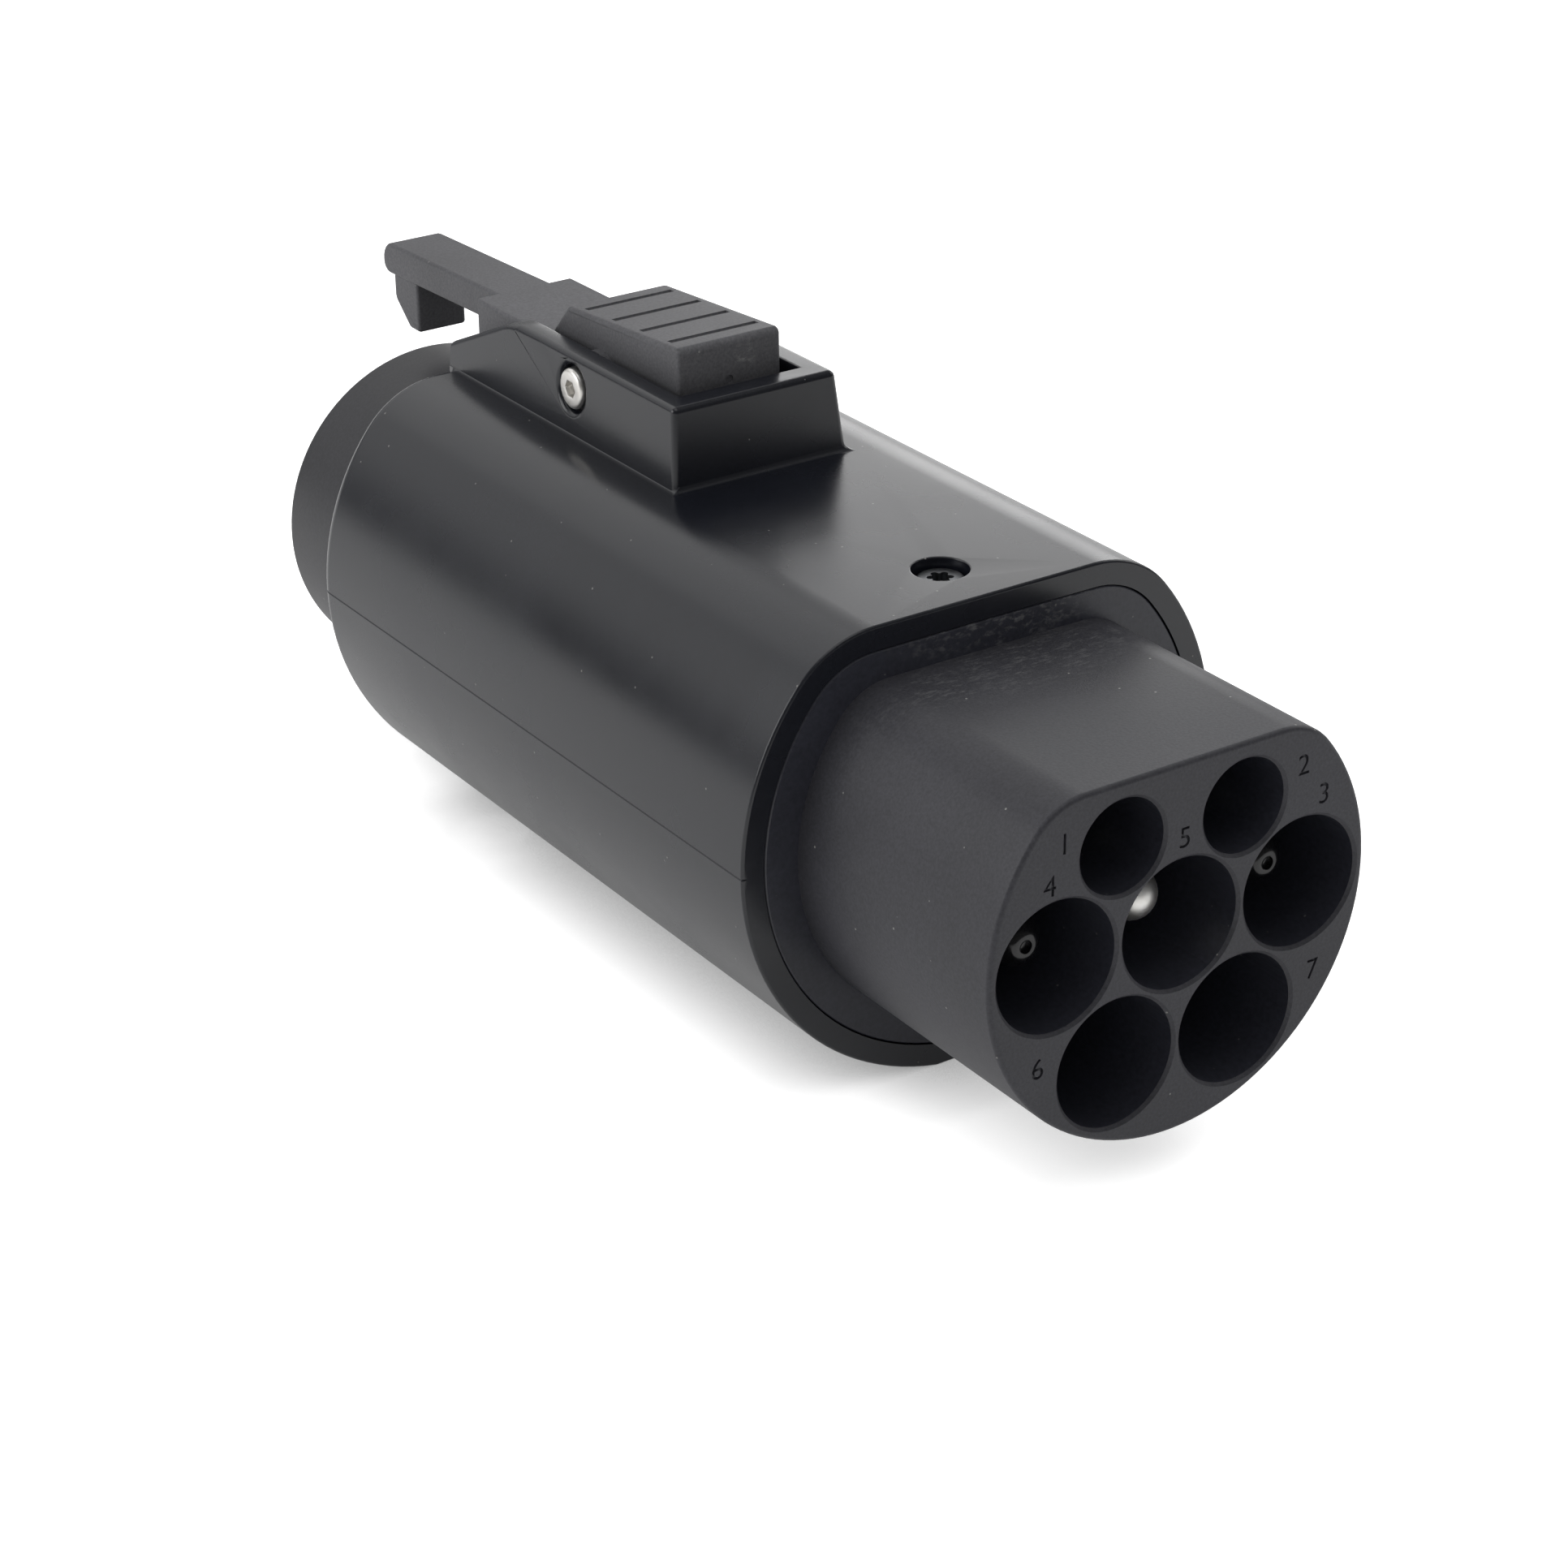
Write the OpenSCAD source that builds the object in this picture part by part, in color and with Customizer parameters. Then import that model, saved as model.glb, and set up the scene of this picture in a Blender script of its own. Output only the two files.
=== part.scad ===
// Single-phase charging adapter for electric vehicles: a seven-well inlet at one end,
// a round five-pole plug with a spring latch at the other.
// X runs along the adapter, with zero at the face of the inlet and the plug at negative X.
// Z is up, and the axis Y = 0, Z = 0 is the earth contact of the inlet.

/* [Case] */
// Room between the plug barrel and the inside of the case
case_gap = 1.7; // [1.4:0.1:4]
// Height of the flat top of the case above the flat of the inlet block
deck_rise = 6.3; // [6:0.1:8]
// Radius of the corners beside the flat top
shell_corner_r = 13; // [11:0.5:14]
// Thickness of the case wall
shell_wall = 2.8; // [2.4:0.1:3]
// Length of the case
shell_length = 95.8; // [92:0.1:110]
// Thickness of the wall at the plug end
end_wall = 3; // [2:0.1:4]
// Depth of the narrow flat that is cut from the round underside
foot_cut = 0.6; // [0.3:0.1:1]
// Thickness of the ribs that hold the flanges inside the case
rib_thick = 2; // [1.5:0.1:2.4]

/* [Inlet block] */
// Wall between the outer wells and the round outside of the block
block_wall = 1.2; // [1:0.1:2]
// Wall between the signal wells and the flat on the block
block_top_wall = 2.05; // [1.5:0.05:3]
// Radius of the corners beside that flat
block_corner_r = 8; // [7:0.5:9]
// Length of the block in front of the case
block_length = 33.8; // [32:0.1:40]
// Length of the solid part of the block behind the flange
block_tail = 10.5; // [10:0.1:12]
// Thickness of the flange in the mouth of the case
flange_thick = 3.4; // [2.5:0.1:4]
// Distance between neighbouring power contacts
contact_pitch = 16; // [15.9:0.05:16.1]
// Wall between neighbouring power wells
well_web = 1; // [0.8:0.1:2]
// Radius of a signal well
signal_well_r = 5.35; // [4.8:0.05:5.5]
// Depth of all wells
well_depth = 30; // [28:0.5:31]
// Height of the signal wells above the axis, as a share of the contact pitch
signal_share = 0.7; // [0.69:0.01:0.75]

/* [Contacts] */
// Radius of a power pin
power_pin_r = 3; // [2.8:0.05:3.1]
// Radius of a signal pin
signal_pin_r = 1.5; // [1.3:0.05:1.6]
// Distance from the face to the tip of the earth pin
earth_tip_depth = 5.6; // [5:0.1:8]
// Distance from the face to the tip of a capped pin
cap_tip_depth = 5.2; // [5:0.1:8]
// Distance from the face to the tip of a signal pin
signal_tip_depth = 12; // [11:0.5:15]
// Length of the touch-safe cap
cap_length = 7; // [6:0.5:9]
// Length of the crimp tail of a power contact
power_tail = 9; // [8:0.5:10]
// Length of the crimp tail of a signal contact
signal_tail = 6; // [5:0.5:7]

/* [Plug] */
// Outer radius of the plug barrel
barrel_r = 21.9; // [21.8:0.05:22]
// Wall thickness of the barrel
barrel_wall = 2.4; // [2:0.1:2.6]
// How far the barrel stands out of the case
barrel_reach = 28.7; // [28:0.1:31]
// Distance of the barrel axis below the case axis
barrel_drop = 4.9; // [4.5:0.1:5]
// Depth of the plug face behind the rim of the barrel
core_recess = 1.6; // [1.2:0.1:3]
// Depth of the socket mouths behind the plug face
socket_depth = 5.4; // [5:0.1:7]
// Bore radius of the line and neutral sockets
power_bore_r = 1.8; // [1.7:0.05:1.9]
// Bore radius of the earth socket
earth_bore_r = 1.4; // [1.3:0.05:1.5]
// Bore radius of the signal sockets
signal_bore_r = 0.75; // [0.7:0.05:0.9]

/* [Wires] */
// Radius of a power wire over its insulation
power_wire_r = 2.2; // [1.9:0.1:2.3]
// Radius of a signal wire over its insulation
signal_wire_r = 0.9; // [0.8:0.05:1]

/* [Latch housing] */
// Half width of the housing at its base
housing_half = 11.9; // [11.7:0.1:12.5]
// Height of the housing above the flat top
housing_height = 9.7; // [9.5:0.1:10]
// Distance from the inlet face to the front of the housing
housing_front = 77.3; // [76:0.1:77.6]
// Half width of the channel inside
channel_half = 8.2; // [8:0.1:8.3]
// Distance from the inlet face to the front of the channel
channel_front = 81.8; // [81.5:0.1:82]

/* [Latch] */
// Distance from the inlet face to the pivot
pivot_back = 100.7; // [100:0.1:101.5]
// Height of the pivot above the flat top
pivot_rise = 5.55; // [5.4:0.05:5.7]
// Radius of the plain shank of the pivot screw
pivot_r = 1.6; // [1.5:0.05:1.8]
// Radial clearance between the lever and the shank
pivot_clear = 0.05; // [0.03:0.01:0.08]
// Half width of the button and of the broad part of the lever
lever_half = 7; // [6.8:0.1:7.2]
// Height of the front edge of the button above the flat top
button_height = 14.4; // [13.5:0.1:15]
// Length of the button from its front to its sloped end
button_length = 24.8; // [24:0.1:26]
// Half width of the narrow arm
arm_half = 3.9; // [3.5:0.1:4.5]
// Height of the narrow arm, top to bottom
arm_height = 4.2; // [3.6:0.1:4.4]
// Distance of the hook's inner face from the rim of the barrel
hook_inset = 5; // [4.5:0.1:6]
// Height of the hook above the barrel
hook_gap = 3.7; // [3.5:0.1:4.5]

/* [Screws] */
// Radius of the head of a case screw
case_head_r = 2.8; // [2.6:0.1:2.9]
// Radius of the recess of a case screw
case_recess_r = 3.2; // [3.1:0.05:3.4]
// Distance from the inlet face to the screws in the inlet block
case_screw_back = 42.4; // [42:0.1:42.6]
// Distance of the two screws that join the shells from the outside of the case
side_screw_margin = 13.8; // [13.4:0.1:14]

/* [Hidden] */

$fn = 64;
// Small overlap that keeps a cut from ending on a face
over = 1;
// Clearance between pieces that slide together by hand
fit = 0.15;
// Clearance between a contact or screw and its hole
snug = 0.05;

// Sections of the block and of the case
well_r = (contact_pitch - well_web) / 2;
signal_shift = 0.07;
signal_y = contact_pitch / 2 - signal_shift;
signal_z = signal_share * contact_pitch;
block_r = contact_pitch + well_r + block_wall;
block_top = signal_z + signal_well_r + block_top_wall;
barrel_step = 0.35;
barrel_seat_r = barrel_r + barrel_step;
shell_r = barrel_drop + barrel_seat_r + fit + case_gap + shell_wall;
shell_top = block_top + deck_rise;
retainer_margin = 1;
rib_depth = case_gap + retainer_margin;
rib_clear = 0.5;

// Stations along X, from the inlet face to the plug
shell_x = -block_length;
end_x = shell_x - shell_length;
flange_back_x = shell_x - flange_thick;
seal_thick = 1.6;
front_rib_x = flange_back_x - seal_thick;
block_back_x = flange_back_x - block_tail;
end_inner_x = end_x + end_wall;
plug_flange_x = end_inner_x + seal_thick;
plug_flange_thick = 3.2;
plug_back_x = plug_flange_x + plug_flange_thick;
barrel_x = end_x - barrel_reach;
core_x = barrel_x + core_recess;
socket_x = core_x + socket_depth;
collar_thick = 2;
retainer_thick = 3;

// Heights
deck_z = shell_top;
foot_z = -(shell_r - foot_cut);
barrel_z = -barrel_drop;
inner_top = shell_top - shell_wall;
boss_z = block_top + fit;

// Places of the inlet contacts in Y and Z
line_at = [-contact_pitch, 0];
neutral_at = [contact_pitch, 0];
earth_at = [0, 0];
second_at = [-contact_pitch / 2, -contact_pitch * sin(60)];
third_at = [contact_pitch / 2, -contact_pitch * sin(60)];
proximity_at = [-signal_y, signal_z];
pilot_at = [signal_y, signal_z];

// Places of the plug contacts in Y and Z
plug_power_y = 7.9;
plug_power_z = 6.8;
plug_earth_z = -10.6;
plug_signal_y = 10.7;
plug_signal_z = -5.6;
plug_line_at = [-plug_power_y, barrel_z + plug_power_z];
plug_neutral_at = [plug_power_y, barrel_z + plug_power_z];
plug_earth_at = [0, barrel_z + plug_earth_z];
plug_proximity_at = [-plug_signal_y, barrel_z + plug_signal_z];
plug_pilot_at = [plug_signal_y, barrel_z + plug_signal_z];

// Radii that belong to the contacts
root_step = 0.3;
root_r = power_pin_r + root_step;
signal_root_r = signal_pin_r + root_step;
collar_r = 4.4;
signal_collar_r = 2.7;
tail_r = 3.2;
signal_tail_r = 1.7;
conductor_r = 1.4;
signal_conductor_r = 0.6;
stud_r = 1.6;
stud_length = 5;
socket_r = 3;
signal_socket_r = 2;
entry_r = 4;
signal_entry_r = 2.6;
socket_bore_depth = 20;
signal_bore_depth = 14;
crimp_depth = 6.5;
signal_crimp_depth = 4.5;

// Screws
case_head_h = 1.9;
case_head_sink = 1;
top_seat_z = deck_z - case_head_sink - case_head_h;
foot_seat_z = foot_z + case_head_sink + case_head_h;
case_shank_r = 1.5;
case_shank_length = 9;
boss_r = 5;
column_r = 4.4;
column_height = 8;
column_seat_z = -4;
side_screw_in = 16.6;
side_screw_x = end_x + side_screw_in;
side_screw_y = shell_r - side_screw_margin;
small_head_r = 2.2;
small_head_h = 1.4;
small_slot_depth = 0.8;
small_shank_r = 1;
small_shank_length = 7;
retainer_screw_y = 14;
retainer_screw_z = -13;
core_screw_y = 15.4;

// Latch housing
draft = 0.8;
front_draft = 1.1;
far_slope = 24;
far_step_r = 12;
housing_top_length = 37.6;
housing_top = deck_z + housing_height;
slope_x = -housing_front - housing_top_length;

// Pivot screw
pivot_x = -pivot_back;
pivot_z = deck_z + pivot_rise;
pivot_head_r = 2.5;
pivot_head_h = 1.6;
pivot_head_clear = 0.4;
pivot_head_in = 1.9;
pivot_tip_in = 1.3;
pivot_hex_r = 1.1;
pivot_hex_depth = 1;
pivot_seat_y = -(housing_half - pivot_head_in);
pivot_tip_y = housing_half - pivot_tip_in;

// Button and broad part of the lever
button_reach = 17;
button_fall = 1.7;
button_slope_run = 4.8;
button_gap = 3;
button_front_x = pivot_x + button_reach;
button_end_x = button_front_x - button_length;
button_foot_x = button_end_x - button_slope_run;
button_top = deck_z + button_height;
button_bottom = deck_z + button_gap;
plate_height = 7.5;
plate_reach = 30.3;
plate_fall = 0.1;
plate_top = deck_z + plate_height;
plate_end_x = pivot_x - plate_reach;
stop_gap = 0.3;
lever_bottom = deck_z + stop_gap;
lever_corner = 0.8;
hub_gap = 0.3;
hub_half = channel_half - hub_gap;
hub_r = 3.9;

// Grooves across the button
groove_count = 4;
groove_pitch = 6.17;
groove_first = 3.5;
groove_half = 6;
groove_r = 0.5;

// Narrow arm, its nose and the hook
arm_fall = 1;
arm_end_top = plate_top - plate_fall - arm_fall;
arm_end_bottom = arm_end_top - arm_height;
arm_fillet = 1.5;
hook_face_x = barrel_x + hook_inset;
nose_reach = 8.3;
nose_x = hook_face_x - nose_reach;
nose_top_r = 2.4;
nose_bottom_r = 1.5;
hook_step = 0.4;
hook_half = arm_half - hook_step;
hook_back = 2;
hook_shoulder = 3.2;
hook_tip = 2.6;
hook_bottom = barrel_z + barrel_r + hook_gap;

// Spring
spring_in = 4.8;
spring_height = 6.6;
spring_r = 2.2;
spring_wire_r = 0.35;
spring_turns = 4.5;
spring_pocket_r = 3.2;
spring_post_r = 1.5;
spring_post_h = 1.4;
spring_x = button_front_x - spring_in;
spring_top_z = deck_z + spring_height;

// Circuit board
board_back = 31;
board_length = 26;
board_half = 9;
board_thick = 1.6;
board_hang = 7;
board_screw_in = 4;
board_shank_length = 5.6;
board_post_r = 2.8;
board_front_x = shell_x - board_back;
board_z = inner_top - board_hang;
board_screw_xs = [board_front_x - board_screw_in, board_front_x - board_length + board_screw_in];

// Wires
wire_steps = 16;
power_wire_sides = 12;
signal_wire_sides = 8;
inlet_power_x = block_back_x - power_tail;
inlet_signal_x = block_back_x - signal_tail;
plug_power_x = plug_back_x + power_tail;
plug_signal_x = plug_back_x + signal_tail;
power_bare = crimp_depth - fit;
signal_bare = signal_crimp_depth - fit;
pilot_bow = -3.4;
proximity_bow = 3.8;
pad_y = 6.5;
pad_in = 7;
link_pad_in = 16;
earth_pad_in = 9;
solder_in = 4;
pad_z = board_z - signal_wire_r - 3 * fit;

// Steps of an arc that rounds a corner of a profile
arc_steps = 6;

function unit(v) = v / norm(v);

// Points of the arc that rounds the corner b between the points a and c
function corner_arc(a, b, c, r) =
    r == 0 ? [b] :
    let (to_a = unit(a - b),
        to_c = unit(c - b),
        half_angle = acos(to_a * to_c) / 2,
        centre = b + unit(to_a + to_c) * r / sin(half_angle),
        first = b + to_a * r / tan(half_angle) - centre,
        last = b + to_c * r / tan(half_angle) - centre)
    [for (i = [0:arc_steps]) centre + r * unit(first * (arc_steps - i) + last * i)];

// An outline with rounded corners, each given as [x, z, radius]
function rounded(corners) =
    let (n = len(corners), points = [for (c = corners) [c[0], c[1]]])
    [for (i = [0:n - 1])
        each corner_arc(points[(i + n - 1) % n], points[i], points[(i + 1) % n], corners[i][2])];

// An extrusion along X between two stations, with the outline drawn in Y and Z
module along_x(x_low, x_high) {
    translate([x_low, 0, 0])
        rotate([90, 0, 90])
            linear_extrude(x_high - x_low)
                children();
}

// A round bar along X at a place in Y and Z
module bar_x(x_low, x_high, r, at) {
    translate([x_low, at[0], at[1]])
        rotate([0, 90, 0])
            cylinder(r = r, h = x_high - x_low);
}

// A round bar along Z at a place in X and Y
module bar_z(z_low, z_high, r, at) {
    translate([at[0], at[1], z_low])
        cylinder(r = r, h = z_high - z_low);
}

// A circle with a flat top and rounded corners, the section of the case and of the block
module d_outline(r, top, corner) {
    corner_z = top - corner;
    corner_y = sqrt(pow(r - corner, 2) - pow(corner_z, 2));
    touch_y = corner_y * r / (r - corner);
    touch_z = corner_z * r / (r - corner);
    intersection() {
        circle(r = r, $fn = 128);
        translate([-r - over, -r - over])
            square([2 * (r + over), touch_z + r + over]);
    }
    polygon([[-touch_y, touch_z], [touch_y, touch_z], [corner_y, top], [-corner_y, top]]);
    for (side = [-1, 1])
        translate([side * corner_y, corner_z])
            circle(r = corner);
}

// The section of the case, moved inwards
module case_outline(inset) {
    d_outline(shell_r - inset, shell_top - inset, shell_corner_r - inset);
}

// The section of the inlet block, moved outwards
module block_outline(grow) {
    d_outline(block_r + grow, block_top + grow, block_corner_r + grow);
}

// Half space above or below the parting plane
module half(upper) {
    size = 400;
    translate([-size / 2 + end_x, -size / 2, upper ? 0 : -size])
        cube([size, size, size]);
}

// The hollow case with its ribs, before it is split
module case_tube() {
    difference() {
        along_x(end_x, shell_x)
            case_outline(0);
        along_x(end_inner_x, shell_x + over)
            case_outline(shell_wall);
        bar_x(end_x - over, end_inner_x + over, barrel_seat_r + fit, [0, barrel_z]);
        translate([end_x - over, -shell_r, -shell_r - over])
            cube([shell_length + 2 * over, 2 * shell_r, foot_cut + over]);
    }
    case_rib(front_rib_x - rib_thick)
        block_outline(rib_clear);
    case_rib(plug_back_x + fit)
        case_outline(shell_wall + rib_depth);
}

// One inner rib, from a station towards the inlet, with its opening as the child
module case_rib(x) {
    along_x(x, x + rib_thick)
        difference() {
            case_outline(shell_wall - snug);
            children();
        }
}

// The recess and clearance hole of a vertical case screw
module screw_recess(x, y, face_z, seat_z) {
    up = seat_z > face_z ? 1 : -1;
    low = min(face_z, seat_z) - (up > 0 ? over : 0);
    high = max(face_z, seat_z) + (up > 0 ? 0 : over);
    bar_z(low, high, case_recess_r, [x, y]);
    bar_z(up > 0 ? seat_z - snug : seat_z - shell_r, up > 0 ? seat_z + shell_r : seat_z + snug,
        case_shank_r + snug, [x, y]);
}

// The side profile of the latch housing in X and Z, with a rounded step to the slope
module housing_profile() {
    foot = deck_z - over;
    end_top = housing_top - (slope_x - end_x) * tan(far_slope);
    polygon(rounded([[-housing_front, foot, 0], [-housing_front, deck_z, 0],
        [-housing_front - front_draft, housing_top, 0], [slope_x, housing_top, far_step_r],
        [end_x, end_top, 0], [end_x, foot, 0]]));
}

// The latch housing: the side profile and a front profile that narrows upwards
module latch_housing() {
    top_half = housing_half - draft;
    difference() {
        intersection() {
            translate([0, housing_half + over, 0])
                rotate([90, 0, 0])
                    linear_extrude(2 * (housing_half + over))
                        housing_profile();
            along_x(end_x, -housing_front)
                polygon([[-housing_half, deck_z - over], [-housing_half, deck_z],
                    [-top_half, housing_top], [top_half, housing_top],
                    [housing_half, deck_z], [housing_half, deck_z - over]]);
        }
        translate([end_x - over, -channel_half, deck_z])
            cube([-channel_front - end_x + over, 2 * channel_half, housing_height + over]);
        pivot_holes();
    }
}

// The holes of the pivot screw: a recess for the head, a hole, and a blind hole for the thread
module pivot_holes() {
    translate([pivot_x, pivot_seat_y, pivot_z])
        rotate([90, 0, 0])
            cylinder(r = pivot_head_r + pivot_head_clear, h = housing_half);
    translate([pivot_x, pivot_tip_y + snug, pivot_z])
        rotate([90, 0, 0])
            cylinder(r = pivot_r + snug, h = 2 * housing_half);
}

// Upper half of the case, with the latch housing, screw bosses and board posts
module upper_shell() {
    color("#3a3a3d")
    difference() {
        union() {
            intersection() {
                case_tube();
                half(true);
            }
            latch_housing();
            inlet_boss(boss_z, inner_top + over);
            for (side = [-1, 1])
                side_column(side, 0, column_height);
            for (x = board_screw_xs)
                bar_z(board_z + board_thick, inner_top + over, board_post_r, [x, 0]);
            bar_z(deck_z - over, deck_z + spring_post_h, spring_post_r, [spring_x, 0]);
        }
        screw_recess(-case_screw_back, 0, shell_top, top_seat_z);
        for (side = [-1, 1])
            bar_z(-over, column_seat_z + case_shank_length + snug, case_shank_r + snug,
                [side_screw_x, side * side_screw_y]);
        for (x = board_screw_xs)
            bar_z(board_z, board_z + board_shank_length + snug, small_shank_r + snug, [x, 0]);
    }
}

// A screw boss over the inlet block, cut flat where the front rib ends
module inlet_boss(z_low, z_high) {
    intersection() {
        bar_z(z_low, z_high, boss_r, [-case_screw_back, 0]);
        translate([front_rib_x - 2 * boss_r, -boss_r, z_low])
            cube([2 * boss_r, 2 * boss_r, z_high - z_low]);
    }
}

// A screw column beside the wall of the case, joined to the wall by a web
module side_column(side, z_low, z_high) {
    bar_z(z_low, z_high, column_r, [side_screw_x, side * side_screw_y]);
    intersection() {
        along_x(side_screw_x - column_r / 2, side_screw_x + column_r / 2)
            case_outline(shell_wall - snug);
        translate([side_screw_x - column_r, side > 0 ? side_screw_y : -shell_r, z_low])
            cube([2 * column_r, shell_r - side_screw_y, z_high - z_low]);
    }
}

// Lower half of the case, with the screw bosses
module lower_shell() {
    color("#3a3a3d")
    difference() {
        union() {
            intersection() {
                case_tube();
                half(false);
            }
            inlet_boss(foot_z + shell_wall - over, -block_r - fit);
            intersection() {
                for (side = [-1, 1])
                    side_column(side, -shell_r, 0);
                along_x(end_inner_x, shell_x)
                    case_outline(snug);
            }
        }
        screw_recess(-case_screw_back, 0, foot_z, foot_seat_z);
        for (side = [-1, 1])
            screw_recess(side_screw_x, side * side_screw_y, -shell_r, column_seat_z);
    }
}

// The inlet block: seven wells, the flange, the solid rear part and the holes of the contacts
module inlet_block() {
    color("#414144")
    difference() {
        union() {
            along_x(block_back_x, 0)
                block_outline(0);
            along_x(flange_back_x, shell_x)
                case_outline(shell_wall + fit);
        }
        for (at = [line_at, neutral_at, earth_at, second_at, third_at])
            bar_x(-well_depth, over, well_r, at);
        for (at = [proximity_at, pilot_at])
            bar_x(-well_depth, over, signal_well_r, at);
        for (at = [line_at, neutral_at, earth_at])
            contact_hole(root_r, collar_r, at);
        for (at = [proximity_at, pilot_at])
            contact_hole(signal_root_r, signal_collar_r, at);
        bar_z(block_top - case_shank_length, block_top + over, case_shank_r + snug,
            [-case_screw_back, 0]);
        bar_z(-block_r - over, -block_r + case_shank_length, case_shank_r + snug,
            [-case_screw_back, 0]);
        for (side = [-1, 1])
            bar_x(block_back_x - over, block_back_x + small_shank_length - retainer_thick + 2 * snug,
                small_shank_r + snug, [side * retainer_screw_y, retainer_screw_z]);
    }
}

// A hole from the floor of a well to the back of the block, with a seat for the collar
module contact_hole(r, seat_r, at) {
    bar_x(block_back_x - over, -well_depth + over, r + snug, at);
    bar_x(block_back_x - over, block_back_x + collar_thick, seat_r + snug, at);
}

// The plate behind the inlet block that holds the contacts
module contact_retainer() {
    front = block_back_x;
    color("#c9c4b4")
    difference() {
        along_x(front - retainer_thick, front)
            block_outline(-retainer_margin);
        for (at = [line_at, neutral_at, earth_at])
            bar_x(front - retainer_thick - over, front + over, tail_r + snug, at);
        for (at = [proximity_at, pilot_at])
            bar_x(front - retainer_thick - over, front + over, signal_tail_r + snug, at);
        for (side = [-1, 1])
            bar_x(front - retainer_thick - over, front + over, small_shank_r + snug,
                [side * retainer_screw_y, retainer_screw_z]);
    }
}

// A small screw along X, with its head towards negative X or positive X
module small_screw_x(seat_x, at, way) {
    head_low = way > 0 ? seat_x - small_head_h : seat_x;
    shank_low = way > 0 ? seat_x : seat_x - small_shank_length;
    difference() {
        union() {
            bar_x(head_low, head_low + small_head_h, small_head_r, at);
            bar_x(shank_low, shank_low + small_shank_length, small_shank_r, at);
        }
        bar_x(way > 0 ? head_low - over : head_low + small_head_h - small_slot_depth,
            way > 0 ? head_low + small_slot_depth : head_low + small_head_h + over,
            small_shank_r, at);
    }
}

// The two screws of the contact retainer
module retainer_screws() {
    color("silver")
    for (side = [-1, 1])
        small_screw_x(block_back_x - retainer_thick, [side * retainer_screw_y, retainer_screw_z], 1);
}

// The buried part of an inlet contact: root, collar and crimp tail with its blind hole
module contact_root(at, r, seat_r, back_r, tail, core_r, depth) {
    back = block_back_x - tail;
    difference() {
        union() {
            bar_x(block_back_x, -well_depth, r, at);
            bar_x(block_back_x, block_back_x + collar_thick, seat_r, at);
            bar_x(back, block_back_x, back_r, at);
        }
        bar_x(back - over, back + depth, core_r + snug, at);
    }
}

// Middle contact, a full metal pin with a domed tip
module earth_pin() {
    color("#d8d8d6") {
        contact_root(earth_at, root_r, collar_r, tail_r, power_tail, conductor_r, crimp_depth);
        bar_x(-well_depth, -earth_tip_depth - power_pin_r, power_pin_r, earth_at);
        intersection() {
            translate([-earth_tip_depth - power_pin_r, earth_at[0], earth_at[1]])
                sphere(r = power_pin_r);
            bar_x(-earth_tip_depth - power_pin_r, 0, power_pin_r + over, earth_at);
        }
    }
}

// Line or neutral contact, with a thin stud under its cap
module capped_pin(at) {
    shoulder = -cap_tip_depth - cap_length;
    contact_root(at, root_r, collar_r, tail_r, power_tail, conductor_r, crimp_depth);
    bar_x(-well_depth, shoulder, power_pin_r, at);
    bar_x(shoulder, shoulder + stud_length, stud_r, at);
}

module line_pin() {
    color("#d8d8d6")
    capped_pin(line_at);
}

module neutral_pin() {
    color("#d8d8d6")
    capped_pin(neutral_at);
}

// A touch-safe cap: a blind sleeve on the stud, with a tapered tip and a dimple
module pin_cap(at) {
    shoulder = -cap_tip_depth - cap_length;
    tip = 1.6;
    dimple_r = 0.7;
    dimple_depth = 0.6;
    difference() {
        union() {
            bar_x(shoulder, -cap_tip_depth - tip, power_pin_r, at);
            translate([-cap_tip_depth - tip, at[0], at[1]])
                rotate([0, 90, 0])
                    cylinder(r1 = power_pin_r, r2 = power_pin_r / 2, h = tip);
        }
        bar_x(shoulder - over, shoulder + stud_length + snug, stud_r + snug, at);
        bar_x(-cap_tip_depth - dimple_depth, -cap_tip_depth + over, dimple_r, at);
    }
}

module line_pin_cap() {
    color("#1d1d1f")
    pin_cap(line_at);
}

module neutral_pin_cap() {
    color("#1d1d1f")
    pin_cap(neutral_at);
}

// A thin signal contact
module signal_pin(at) {
    contact_root(at, signal_root_r, signal_collar_r, signal_tail_r, signal_tail,
        signal_conductor_r, signal_crimp_depth);
    bar_x(-well_depth, -signal_tip_depth - signal_pin_r, signal_pin_r, at);
    intersection() {
        translate([-signal_tip_depth - signal_pin_r, at[0], at[1]])
            sphere(r = signal_pin_r);
        bar_x(-signal_tip_depth - signal_pin_r, 0, signal_pin_r + over, at);
    }
}

module pilot_pin() {
    color("#d8d8d6")
    signal_pin(pilot_at);
}

module proximity_pin() {
    color("#d8d8d6")
    signal_pin(proximity_at);
}

// The sleeve of the vehicle plug, with its flange inside the case and a lip in front of the core
module plug_barrel() {
    bore_r = barrel_r - barrel_wall;
    lip = 1.1;
    color("#2c2c2f")
    difference() {
        union() {
            bar_x(barrel_x, plug_back_x, barrel_r, [0, barrel_z]);
            bar_x(end_x - fit, plug_back_x, barrel_seat_r, [0, barrel_z]);
            along_x(plug_flange_x, plug_back_x)
                case_outline(shell_wall + fit);
        }
        bar_x(core_x, plug_back_x + over, bore_r, [0, barrel_z]);
        bar_x(barrel_x - over, core_x + over, bore_r - lip, [0, barrel_z]);
    }
}

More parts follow.
